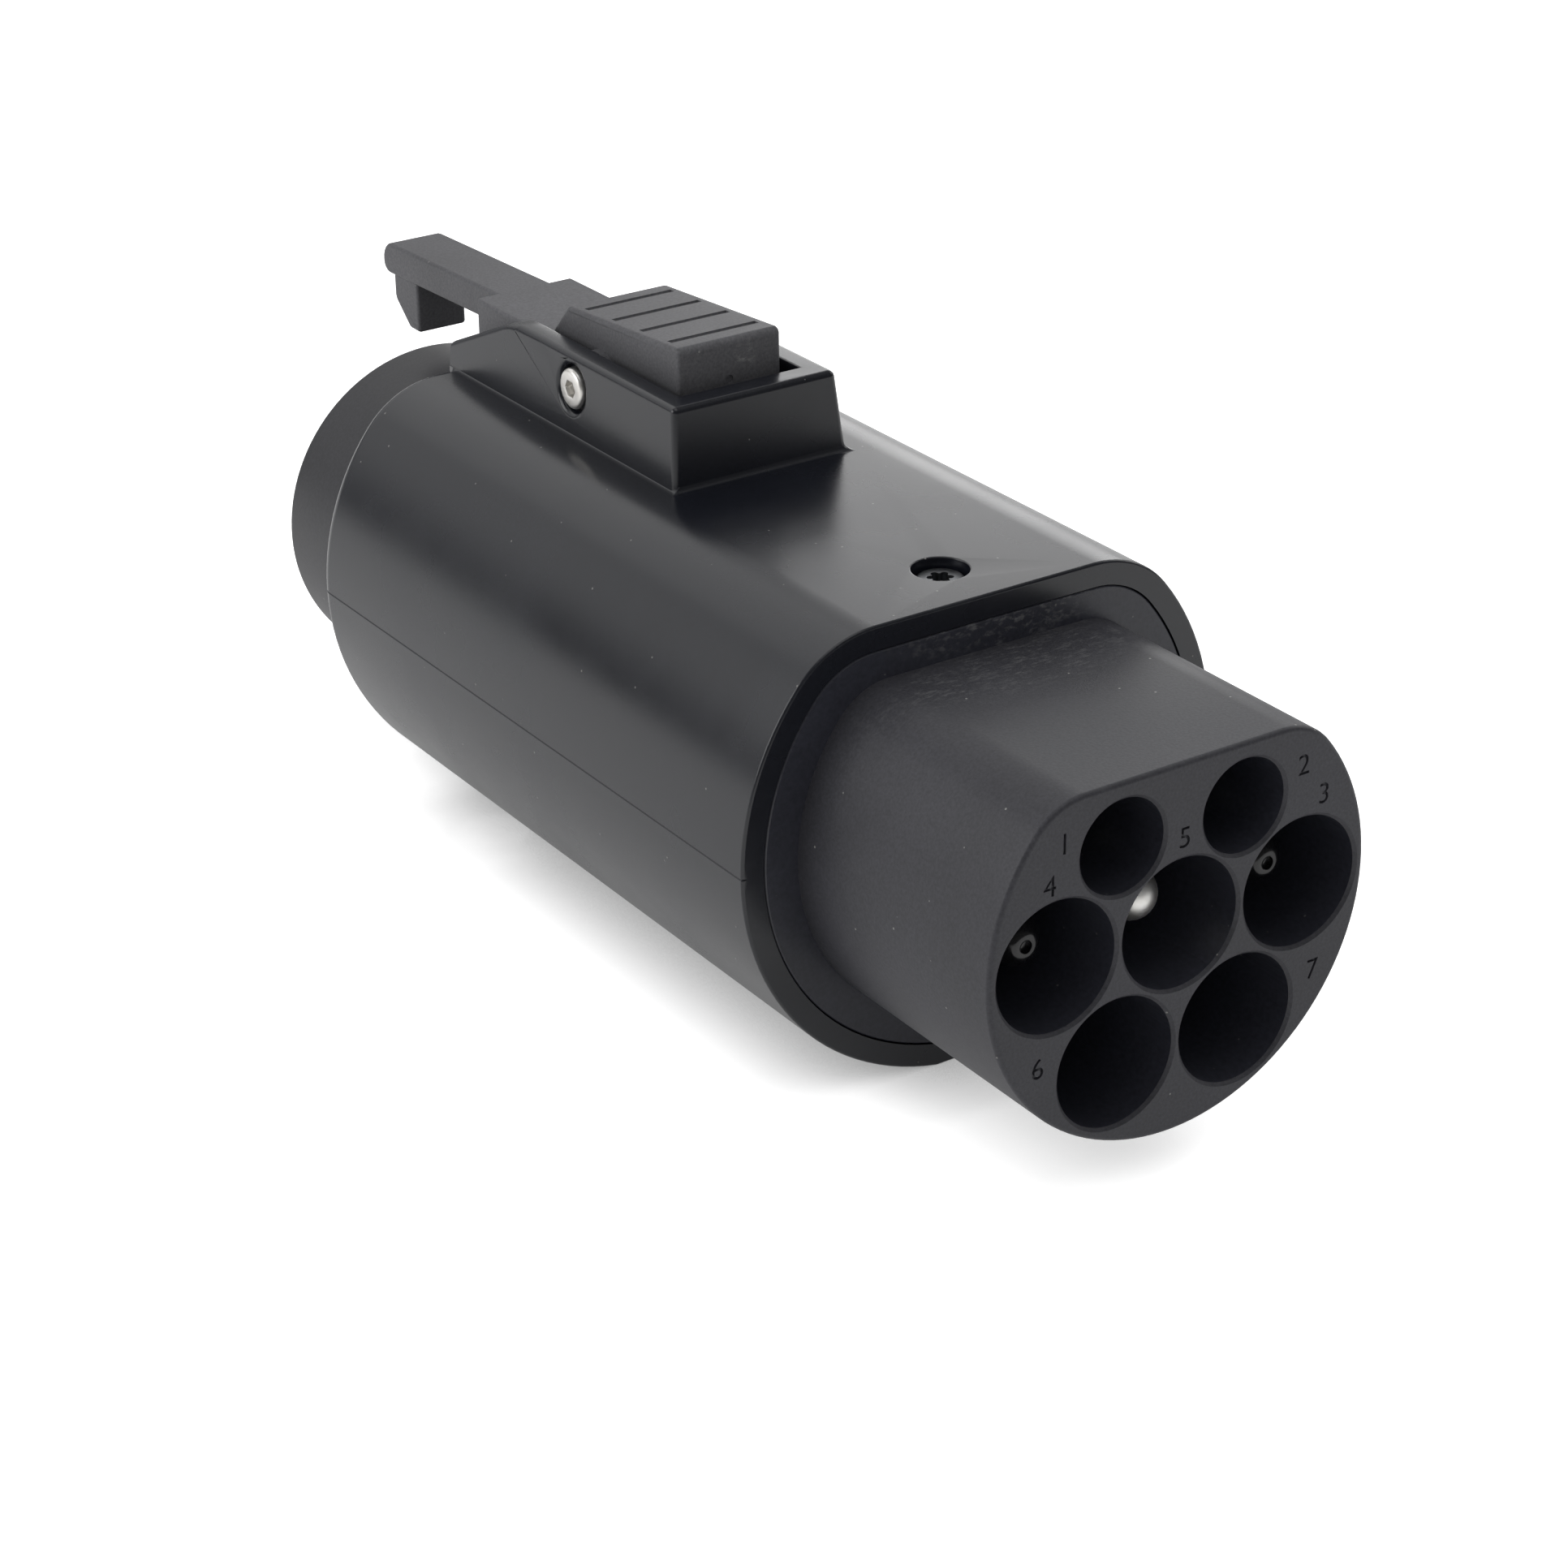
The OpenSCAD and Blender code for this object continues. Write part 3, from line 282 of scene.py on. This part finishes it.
# Glass-filled PA6, fine matt: the inlet block, greyer because its rough skin scatters light
inlet_plastic = moulded_plastic("pa6_glass_filled_inlet_matt_moulded", "#39393e", 1.53, 0.33, 0.45,
                                0.35, 0.014, 0.6, 0.08, ((-37, -24, 8), (-20, 26, 28), 0.27))
# The same PA6 where the mould is polished: the wells, made by smooth core pins, and the flange.
# Its darker colour is partly painted shade, standing in for the shade deep in the wells and on the
# flange beside the block
inlet_polished_painted_shade = moulded_plastic("pa6_inlet_polished_with_painted_shade", "#303139", 1.53, 0.45, 0.34,
                                 0.5, 0.003, 0.3, 0, ((-36, -14, 18), (-32, 22, 26), 0.7))
# POM, dry satin: the latch lever, with a scuff on the button's front face
latch_plastic = moulded_plastic("pom_latch_satin_moulded", "#58585b", 1.48, 0.27, 0.48, 0.35, 0.01,
                                0.4, 0.03, ((-84.8, 0.4, 34.8), (-82.8, 3.8, 39), 1.5))
# PBT, the plug's barrel and core
plug_plastic = moulded_plastic("pbt_plug_satin_moulded", "#2b2b2f", 1.55, 0.4, 0.42, 0.4, 0.008,
                               0.4, 0.04)
# Polished PA66, the touch-safe caps
cap_plastic = moulded_plastic("pa66_cap_polished_moulded", "#101012", 1.53, 0.5, 0.2,
                              0.5, 0.002, 0.2)
# Undyed PA66, the plates that hold the contacts
retainer_plastic = moulded_plastic("pa66_natural_retainer_moulded", "#c9c4b4", 1.53, 0.5, 0.5,
                                   0.5, 0.01, 0.1)
# EPDM rubber, pressed in a mould: matt and soft
seal_rubber = moulded_plastic("epdm_seal_moulded", "#161617", 1.52, 0.4, 0.7, 0.6, 0.01, 0.2)
# Glass-fibre laminate under green solder mask
board_laminate = moulded_plastic("fr4_board_etched", "#1f5a37", 1.55, 0.5, 0.4, 0.3, 0.01, 0.1)
# Dipped lacquer on the resistors
resistor_body = moulded_plastic("resistor_lacquer_dipped", "#b9a27a", 1.5, 0.5, 0.35,
                                0.6, 0.01, 0.1)
# Silver-plated brass, turned: bright, a little yellow where it tarnishes
contact_silver = worked_metal("silver_plated_brass_turned", "#f6f5f2", "#e6e3db", 0.4,
                              0.3, (4, 1, 1), 0.003)
# Brass, turned and left bare inside the sockets
contact_brass = worked_metal("brass_socket_turned", "#d0a85a", "#8f6f38", 0.3,
                             0.3, (4, 1, 1), 0.003)
# Stainless steel, cold headed: smooth with soft flow marks
screw_steel = worked_metal("stainless_screw_cold_headed", "#f2f0ec", "#dcd9d3", 0.36,
                           0.4, (1, 1, 1), 0.004)
# The same steel with a dull grey conversion coat, on the screws that hold the case
screw_grey = worked_metal("stainless_screw_grey_coated", "#7f8184", "#5c5e61", 0.36,
                          0.4, (1, 1, 1), 0.004)
# Patented spring wire, drawn
spring_steel = worked_metal("spring_wire_drawn", "#b0aeaa", "#85827c", 0.3,
                            0.3, (1, 1, 3), 0.003)
# The insulation's usual colours, one for each conductor
wire_brown = extruded_insulation("pvc_insulation_brown", "#6b3f20")
wire_blue = extruded_insulation("pvc_insulation_blue", "#2b5aa6")
wire_green = extruded_insulation("pvc_insulation_green", "#4a8a38")
wire_white = extruded_insulation("pvc_insulation_white", "#d8d4c8")
wire_red = extruded_insulation("pvc_insulation_red", "#b0302a")

NODE_FINISH = {
    "upper_shell": case_plastic, "lower_shell": case_plastic, "inlet_block": inlet_plastic,
    "contact_retainer": retainer_plastic, "retainer_screws": screw_steel,
    "earth_pin": contact_silver, "line_pin": contact_silver, "neutral_pin": contact_silver,
    "line_pin_cap": cap_plastic, "neutral_pin_cap": cap_plastic,
    "pilot_pin": contact_silver, "proximity_pin": contact_silver,
    "plug_barrel": plug_plastic, "plug_core": plug_plastic,
    "socket_retainer": retainer_plastic, "socket_retainer_screws": screw_steel,
    "line_socket": contact_brass, "neutral_socket": contact_brass,
    "earth_socket": contact_brass, "pilot_socket": contact_brass,
    "proximity_socket": contact_brass, "line_wire": wire_brown, "neutral_wire": wire_blue,
    "earth_wire": wire_green, "pilot_wire": wire_white, "proximity_wire": wire_red,
    "proximity_link_wire": wire_red, "board_earth_wire": wire_green,
    "circuit_board": board_laminate, "board_resistors": resistor_body,
    "board_screws": screw_steel, "front_seal": seal_rubber, "rear_seal": seal_rubber,
    "case_screws": screw_grey, "latch_lever": latch_plastic, "pivot_screw": screw_steel,
    "latch_spring": spring_steel}
for node_name, finish in NODE_FINISH.items():
    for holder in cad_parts[node_name].material_slots:
        holder.material = finish


def pick(piece):
    """Makes one piece the only selected and the active one."""
    bpy.ops.object.select_all(action="DESELECT")
    piece.select_set(True)
    bpy.context.view_layer.objects.active = piece


def open_copy(node_name, name):
    """A copy of a CAD solid with its loose triangles merged into whole faces."""
    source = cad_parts[node_name]
    piece = bpy.data.objects.new(name, source.data.copy())
    bpy.context.scene.collection.objects.link(piece)
    piece.data.materials.clear()
    piece.data.materials.append(NODE_FINISH[node_name])
    pick(piece)
    if piece.data.has_custom_normals:
        bpy.ops.mesh.customdata_custom_splitnormals_clear()
    bpy.ops.object.mode_set(mode="EDIT")
    bpy.ops.mesh.select_mode(type="EDGE")
    bpy.ops.mesh.select_all(action="SELECT")
    bpy.ops.mesh.remove_doubles(threshold=SAME_PLACE)
    bpy.ops.mesh.dissolve_limited(angle_limit=FLAT_ANGLE)
    bpy.ops.object.mode_set(mode="OBJECT")
    return piece


def round_edges(piece, radius_mm, wanted, segments=3, convex=None):
    """Rounds the sharp edges whose middle, in millimetres, passes the test."""
    pick(piece)
    bpy.ops.object.mode_set(mode="EDIT")
    bpy.ops.mesh.select_all(action="DESELECT")
    work = bmesh.from_edit_mesh(piece.data)
    count = 0
    for edge in work.edges:
        if len(edge.link_faces) != 2 or edge.calc_face_angle(0) < SHARP_ANGLE:
            continue
        if convex is not None and edge.is_convex != convex:
            continue
        middle = (edge.verts[0].co + edge.verts[1].co) / 2 / MM
        if wanted(middle.x, middle.y, middle.z):
            edge.select_set(True)
            count += 1
    bmesh.update_edit_mesh(piece.data)
    if count:
        bpy.ops.mesh.bevel(offset=radius_mm * MM, segments=segments, affect="EDGES")
    bpy.ops.object.mode_set(mode="OBJECT")


def cut_away(piece, cutters):
    """Cuts the cutters out of the piece and removes them."""
    pick(cutters[0])
    for cutter in cutters:
        cutter.select_set(True)
    if len(cutters) > 1:
        bpy.ops.object.join()
    tool = bpy.context.view_layer.objects.active
    bpy.ops.object.transform_apply(location=True, rotation=True, scale=True)
    pick(piece)
    cut = piece.modifiers.new("cut", "BOOLEAN")
    cut.operation = "DIFFERENCE"
    cut.solver = "EXACT"
    cut.object = tool
    bpy.ops.object.modifier_apply(modifier=cut.name)
    bpy.data.objects.remove(tool)


def mouth_cutter(r, y, z, flare):
    """A short cone that gives the mouth of a well in the inlet face its chamfer. It begins
    a little under the edge that it cuts, and ends a little over the face."""
    under, over = 0.05, 0.1
    bpy.ops.object.select_all(action="DESELECT")
    bpy.ops.mesh.primitive_cone_add(
        vertices=96, radius1=(r - under) * MM, radius2=(r + flare + over) * MM,
        depth=(flare + under + over) * MM, rotation=(0, pi / 2, 0),
        location=Vector(((over - flare - under) / 2, y, z)) * MM)
    return bpy.context.active_object


def numeral_cutter(figure, y, z, size, depth):
    """A plain figure that stands in the inlet face, to be cut out of it."""
    bpy.ops.object.select_all(action="DESELECT")
    bpy.ops.object.text_add()
    written = bpy.context.active_object
    written.data.body = figure
    written.data.size = size * MM
    written.data.extrude = depth * MM
    written.data.align_x = "CENTER"
    written.data.align_y = "CENTER"
    written.data.resolution_u = 6
    bpy.ops.object.convert(target="MESH")
    solid = bpy.context.active_object
    bpy.ops.object.mode_set(mode="EDIT")
    bpy.ops.mesh.select_all(action="SELECT")
    bpy.ops.mesh.remove_doubles(threshold=SAME_PLACE / 2)
    bpy.ops.object.mode_set(mode="OBJECT")
    stand = Matrix(((0, 0, 1, 0), (1, 0, 0, y * MM), (0, 1, 0, z * MM), (0, 0, 0, 1)))
    solid.data.transform(stand)
    return solid


def finish_piece(piece, body, slot_name, *stands_for):
    """Smooth faces with crisp edges, then the piece takes the place of its CAD solids."""
    pick(piece)
    # Faces of five corners or more are split, because a viewer may fill them wrongly
    whole = piece.modifiers.new("whole_faces", "TRIANGULATE")
    whole.min_vertices = 5
    bpy.ops.object.modifier_apply(modifier=whole.name)
    bpy.ops.object.shade_smooth_by_angle(angle=SHARP_ANGLE)
    evened = piece.modifiers.new("even_normals", "WEIGHTED_NORMAL")
    evened.keep_sharp = True
    bpy.ops.object.modifier_apply(modifier=evened.name)
    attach(piece, body)
    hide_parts(*stands_for)
    return piece


def inset(y, z, r, top, corner_r):
    """How far a point lies inside a round outline with a flat top and two corners."""
    corner_z = top - corner_r
    corner_y = (max((r - corner_r) ** 2 - corner_z ** 2, 0)) ** 0.5
    if z > corner_z * r / (r - corner_r) - 0.1:
        if abs(y) <= corner_y:
            return top - z
        return corner_r - hypot(abs(y) - corner_y, z - corner_z)
    return r - hypot(y, z)


def on_case(y, z):
    """Whether a point is on the outer skin of the case."""
    return abs(inset(y, z, CASE_R, DECK_Z, CASE_CORNER_R)) < 0.4


def on_block(y, z):
    """Whether a point is on the outer skin of the inlet block."""
    return abs(inset(y, z, BLOCK_R, BLOCK_TOP, BLOCK_CORNER_R)) < 0.3


def near(a, b, reach=0.08):
    """Whether two lengths in millimetres are the same within the reach."""
    return abs(a - b) < reach


def screw_ring(x, y, r, reach):
    """Whether a point seen from above is on a circle round one of the case screws."""
    return near(hypot(x - CASE_SCREW_X, y), r, reach) or near(
        hypot(x - SIDE_SCREW_X, abs(y) - SIDE_SCREW_Y), r, reach)


# Upper half of the case
upper_case = open_copy("upper_shell", "upper_case")
round_edges(upper_case, 0.7, lambda x, y, z: z > DECK_Z - 0.05 and x > CASE_END + 0.1 and (
    near(abs(y), HOUSING_HALF - 0.4, 0.6) or x > HOUSING_FRONT - 1.3 and x < HOUSING_FRONT + 0.1))
round_edges(upper_case, 0.3, lambda x, y, z: z > DECK_Z + 0.4 and abs(y) < CHANNEL_HALF
            and x > CASE_END + 0.1, 2, True)
round_edges(upper_case, RIM_ROUND, lambda x, y, z: near(x, CASE_FRONT) and z > 0.1
            and on_case(y, z))
round_edges(upper_case, END_ROUND, lambda x, y, z: near(x, CASE_END) and z > 0.1 and (
    on_case(y, z) and abs(y) > HOUSING_HALF + 0.2), 6)
round_edges(upper_case, PARTING_ROUND, lambda x, y, z: near(z, 0, 0.02) and on_case(y, z), 1)
round_edges(upper_case, RECESS_ROUND, lambda x, y, z: near(z, DECK_Z)
            and hypot(x - CASE_SCREW_X, y) < SCREW_RECESS_R + 0.2, 2)
finish_piece(upper_case, "adapter", "case_plastic", "upper_shell")

# Lower half of the case
lower_case = open_copy("lower_shell", "lower_case")
round_edges(lower_case, RIM_ROUND, lambda x, y, z: near(x, CASE_FRONT) and z < -0.1
            and inset(y, z, CASE_R, DECK_Z, CASE_CORNER_R) < 1)
round_edges(lower_case, END_ROUND, lambda x, y, z: near(x, CASE_END) and z < -0.1
            and inset(y, z, CASE_R, DECK_Z, CASE_CORNER_R) < 1, 6)
round_edges(lower_case, PARTING_ROUND, lambda x, y, z: near(z, 0, 0.02) and on_case(y, z), 1)
round_edges(lower_case, RECESS_ROUND, lambda x, y, z: z < -16
            and screw_ring(x, y, SCREW_RECESS_R, 0.15)
            and inset(y, z, CASE_R, DECK_Z, CASE_CORNER_R) < 1, 2)
finish_piece(lower_case, "adapter", "case_plastic", "lower_shell")

# Inlet block, with chamfered wells and plain numerals cut beside them
WELLS = [(POWER_WELL_R, -PIN_PITCH, 0), (POWER_WELL_R, 0, 0), (POWER_WELL_R, PIN_PITCH, 0),
         (POWER_WELL_R, -PIN_PITCH / 2, LOWER_ROW_Z), (POWER_WELL_R, PIN_PITCH / 2, LOWER_ROW_Z),
         (SIGNAL_WELL_R, -SIGNAL_Y, SIGNAL_ROW_Z), (SIGNAL_WELL_R, SIGNAL_Y, SIGNAL_ROW_Z)]
NUMERALS = {"1": (-15.5, 13.7), "2": (15.6, 13.7), "3": (18.6, 9.6), "4": (-17.2, 9.4),
            "5": (0, 9.9), "6": (-18.3, -11.2), "7": (18.3, -11.2)}
inlet_body = open_copy("inlet_block", "inlet_body")
round_edges(inlet_body, 0.55, lambda x, y, z: near(x, 0) and on_block(y, z), 5)
cut_away(inlet_body, [mouth_cutter(r, y, z, WELL_CHAMFER) for r, y, z in WELLS])
cut_away(inlet_body, [numeral_cutter(figure, y, z, FIGURE_SIZE, FIGURE_DEPTH)
                      for figure, (y, z) in NUMERALS.items()])
round_edges(inlet_body, 0.15, lambda x, y, z: near(x, CASE_FRONT) and near(
    inset(y, z, CASE_R, DECK_Z, CASE_CORNER_R), 2.95, 0.2), 1)
finish_piece(inlet_body, "adapter", "inlet_plastic", "inlet_block")

# The polished finish, darker with painted shade, goes on the well walls and on the flange in the
# mouth of the case
inlet_body.data.materials.append(inlet_polished_painted_shade)
for face in inlet_body.data.polygons:
    centre = face.center / MM
    in_well = centre.x < -0.3 and any(
        hypot(centre.y - y, centre.z - z) < r + 0.2 for r, y, z in WELLS)
    if in_well or near(centre.x, CASE_FRONT, 0.6):
        face.material_index = 1

# Plug barrel and core
barrel = open_copy("plug_barrel", "plug_sleeve")
round_edges(barrel, 0.8, lambda x, y, z: near(x, BARREL_RIM)
            and near(hypot(y, z - BARREL_Z), BARREL_R, 0.2), 4)
round_edges(barrel, 0.3, lambda x, y, z: near(x, BARREL_RIM)
            and hypot(y, z - BARREL_Z) < BARREL_R - 2, 2)
finish_piece(barrel, "adapter", "plug_plastic", "plug_barrel")

core = open_copy("plug_core", "plug_insert")
round_edges(core, 0.3, lambda x, y, z: near(x, BARREL_RIM + CORE_RECESS)
            and hypot(y, z - BARREL_Z) < 18, 2)
finish_piece(core, "adapter", "plug_plastic", "plug_core")

# Latch lever
lever = open_copy("latch_lever", "latch")
round_edges(lever, 0.45, lambda x, y, z: any(
    near(abs(y), half, 0.05) for half in (BUTTON_HALF, ARM_HALF, HOOK_HALF)), 3, True)
bpy.ops.object.select_all(action="DESELECT")
bpy.ops.mesh.primitive_cylinder_add(
    vertices=32, radius=GATE_R * MM, depth=2 * GATE_DEPTH * MM, rotation=(0, pi / 2, 0),
    location=Vector((BUTTON_FRONT, GATE_Y, GATE_Z)) * MM)
cut_away(lever, [bpy.context.active_object])
finish_piece(lever, "latch", "latch_plastic", "latch_lever")

# Pivot screw and case screws
pivot_bolt = open_copy("pivot_screw", "pivot_bolt")
round_edges(pivot_bolt, 0.5, lambda x, y, z: y < PIVOT_HEAD_Y
            and hypot(x - PIVOT_X, z - PIVOT_Z) > 2.1, 4)
round_edges(pivot_bolt, 0.12, lambda x, y, z: y < PIVOT_HEAD_Y
            and hypot(x - PIVOT_X, z - PIVOT_Z) < 1.3, 2)
finish_piece(pivot_bolt, "adapter", "screw_steel", "pivot_screw")

case_bolts = open_copy("case_screws", "case_bolts")
round_edges(case_bolts, 0.45, lambda x, y, z: screw_ring(x, y, SCREW_HEAD_R, 0.12), 3)
finish_piece(case_bolts, "adapter", "screw_steel", "case_screws")

# Return spring, which the button squashes down onto the deck
return_coil = open_copy("latch_spring", "return_coil")
rounder = return_coil.modifiers.new("rounder", "SUBSURF")
bpy.ops.object.modifier_apply(modifier=rounder.name)
finish_piece(return_coil, "adapter", "spring_steel", "latch_spring")
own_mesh(return_coil)

# Touch-safe caps with rounded tips
for side, node_name in ((-PIN_PITCH, "line_pin_cap"), (PIN_PITCH, "neutral_pin_cap")):
    cap = open_copy(node_name, node_name + "_rounded")
    round_edges(cap, 0.7, lambda x, y, z: near(hypot(y - side, z), CAP_R, 0.1)
                and x > CAP_TIP_X - 2.3, 4)
    round_edges(cap, 0.35, lambda x, y, z: near(hypot(y - side, z), CAP_NOSE_R, 0.1)
                and x > CAP_TIP_X - 0.4, 3)
    round_edges(cap, 0.12, lambda x, y, z: near(hypot(y - side, z), CAP_DIMPLE_R, 0.1)
                and x > CAP_TIP_X - 0.4, 2)
    finish_piece(cap, "adapter", "cap_plastic", node_name)

# Camera at the photograph's place, worked out from the adapter's own edges and circles
CAMERA_PLACE = Vector((254.8523, -217.1042, 181.3269)) * MM
CAMERA_LENS = 84.656
SENSOR_WIDTH = 36
camera_data = bpy.data.cameras.new("camera")
camera = bpy.data.objects.new("camera", camera_data)
bpy.context.scene.collection.objects.link(camera)
right = Vector((0.556289, 0.830902, -0.011996))
up = Vector((-0.362982, 0.255952, 0.895953))
back = Vector((0.74752, -0.494055, 0.443986))
turn = Matrix((right, up, back)).transposed().to_4x4()
camera.matrix_world = Matrix.Translation(CAMERA_PLACE) @ turn
camera_data.sensor_width = SENSOR_WIDTH
camera_data.lens = CAMERA_LENS
camera_data.clip_start = 0.01
bpy.context.scene.camera = camera

# Distance of every lamp from the middle of the adapter, in metres
LAMP_DISTANCE = 0.9


def soft_lamp(name, turn, height, size, radiance):
    """A square softbox that faces the adapter from a bearing and a height in degrees."""
    data = bpy.data.lights.new(name, "AREA")
    data.shape = "SQUARE"
    data.size = size
    data.energy = radiance * pi * size * size
    lamp = bpy.data.objects.new(name, data)
    bpy.context.scene.collection.objects.link(lamp)
    reach = LAMP_DISTANCE * cos(radians(height))
    lamp.location = MIDDLE + Vector((reach * cos(radians(turn)), reach * sin(radians(turn)),
                                     LAMP_DISTANCE * sin(radians(height))))
    lamp.rotation_euler = (MIDDLE - lamp.location).to_track_quat("-Z", "Y").to_euler()


soft_lamp("left_softbox", 250, 24, 0.58, 2.4)
soft_lamp("back_softbox", 139, 12.5, 0.33, 2.1)
soft_lamp("high_softbox", 180, 48, 0.6, 0.25)
soft_lamp("right_softbox", 95, 30, 0.6, 1.5)
soft_lamp("top_softbox", 0, 85, 0.7, 0.9)

# World: white to the eye. In reflections, a white wall behind the adapter and a dim room
# in front of it. An even fill on the surfaces
FILL = 0.5
DIM_ROOM = 0.1
WHITE_WALL = 0.78
world = bpy.data.worlds.new("studio")
bpy.context.scene.world = world
world.use_nodes = True
world_tree = world.node_tree
fill = world_tree.nodes["Background"]
fill.inputs["Color"].default_value = (1, 1, 1, 1)
fill.inputs["Strength"].default_value = FILL
path = add_node(world_tree, "ShaderNodeLightPath")
bearing = add_node(world_tree, "ShaderNodeTexCoord")
heading = add_node(world_tree, "ShaderNodeSeparateXYZ", {0: bearing.outputs["Generated"]})
behind = add_node(world_tree, "ShaderNodeMapRange", {
    "Value": heading.outputs["X"], "From Min": -0.3, "From Max": -0.72},
    interpolation_type="SMOOTHSTEP")
raised = add_node(world_tree, "ShaderNodeMapRange", {
    "Value": heading.outputs["Z"], "From Min": 0.02, "From Max": 0.3},
    interpolation_type="SMOOTHSTEP")
wall = add_node(world_tree, "ShaderNodeMath", {
    0: behind.outputs["Result"], 1: raised.outputs["Result"]}, operation="MULTIPLY")
wall_level = add_node(world_tree, "ShaderNodeMapRange", {
    "Value": wall.outputs["Value"], "To Min": DIM_ROOM, "To Max": WHITE_WALL})
reflected = add_node(world_tree, "ShaderNodeMath", {
    0: path.outputs["Is Glossy Ray"], 1: path.outputs["Is Transmission Ray"]},
    operation="MAXIMUM")
room = add_node(world_tree, "ShaderNodeBackground", {
    "Color": (1, 1, 1, 1), "Strength": wall_level.outputs["Result"]})
eye_white = add_node(world_tree, "ShaderNodeBackground", {"Color": (1, 1, 1, 1), "Strength": 1})
surroundings = add_node(world_tree, "ShaderNodeMixShader", {
    0: reflected.outputs["Value"], 1: fill.outputs["Background"], 2: room.outputs["Background"]})
whole_world = add_node(world_tree, "ShaderNodeMixShader", {
    0: path.outputs["Is Camera Ray"], 1: surroundings.outputs["Shader"],
    2: eye_white.outputs["Background"]})
world_tree.links.new(whole_world.outputs["Shader"],
                     world_tree.nodes["World Output"].inputs["Surface"])

# How much light the paper adds for the eye and for reflections, so that it looks white
EYE_LIFT = 0.84
MIRROR_LIFT = 0.22
# Reach of the painted contact shadow, a soft dark line where the adapter nears the paper, in
# millimetres
PAINTED_SHADOW_REACH = 12
FLOOR_SIZE = 6

# Floor: matt white paper that lifts to white for the eye and keeps the soft shadow of the lamps.
# Near the adapter an occlusion node paints a contact shadow, darkening its colour and its lift
paper, paper_tree, paper_shader, paper_place = new_material("paper_backdrop_matt_painted_shadow")
fibre = add_node(paper_tree, "ShaderNodeTexNoise", {
    "Vector": paper_place, "Scale": 1 / (2 * MM), "Detail": 3})
paper_tone = add_node(paper_tree, "ShaderNodeMapRange", {
    "Value": fibre.outputs["Fac"], "To Min": 0.84, "To Max": 0.88})
paper_path = add_node(paper_tree, "ShaderNodeLightPath")
paper_reflected = add_node(paper_tree, "ShaderNodeMath", {
    0: paper_path.outputs["Is Glossy Ray"], 1: paper_path.outputs["Is Transmission Ray"]},
    operation="MAXIMUM")
mirror_lift = add_node(paper_tree, "ShaderNodeMath", {
    0: paper_reflected.outputs["Value"], 1: MIRROR_LIFT}, operation="MULTIPLY")
# Painted contact shadow: where the adapter is near, the paper's colour and its lift are darkened
open_sky = add_node(paper_tree, "ShaderNodeAmbientOcclusion", {
    "Distance": PAINTED_SHADOW_REACH * MM}, samples=4)
painted_contact_shadow = add_node(paper_tree, "ShaderNodeMapRange", {
    "Value": open_sky.outputs["AO"], "From Min": 0.12, "From Max": 0.6, "To Min": 0.28})
eye_lift = add_node(paper_tree, "ShaderNodeMath", {
    0: painted_contact_shadow.outputs["Result"], 1: EYE_LIFT}, operation="MULTIPLY")
lift = add_node(paper_tree, "ShaderNodeMath", {
    0: paper_path.outputs["Is Camera Ray"], 1: eye_lift.outputs["Value"],
    2: mirror_lift.outputs["Value"]}, operation="MULTIPLY_ADD")
paper_with_painted_shadow = add_node(paper_tree, "ShaderNodeMath", {
    0: paper_tone.outputs["Result"], 1: painted_contact_shadow.outputs["Result"]}, operation="MULTIPLY")
matt = add_node(paper_tree, "ShaderNodeBsdfDiffuse", {"Color": paper_with_painted_shadow.outputs["Value"]})
glow = add_node(paper_tree, "ShaderNodeEmission", {"Strength": lift.outputs["Value"]})
lit_paper = add_node(paper_tree, "ShaderNodeAddShader", {
    0: matt.outputs["BSDF"], 1: glow.outputs["Emission"]})
paper_tree.links.new(lit_paper.outputs["Shader"],
                     paper_tree.nodes["Material Output"].inputs["Surface"])
paper_tree.nodes.remove(paper_shader)
bpy.ops.object.select_all(action="DESELECT")
bpy.ops.mesh.primitive_plane_add(size=FLOOR_SIZE, location=(-0.08, 0, FOOT_Z * MM))
floor = bpy.context.active_object
floor.name = "floor"
floor.data.materials.append(paper)

bpy.context.scene.view_settings.view_transform = "Standard"
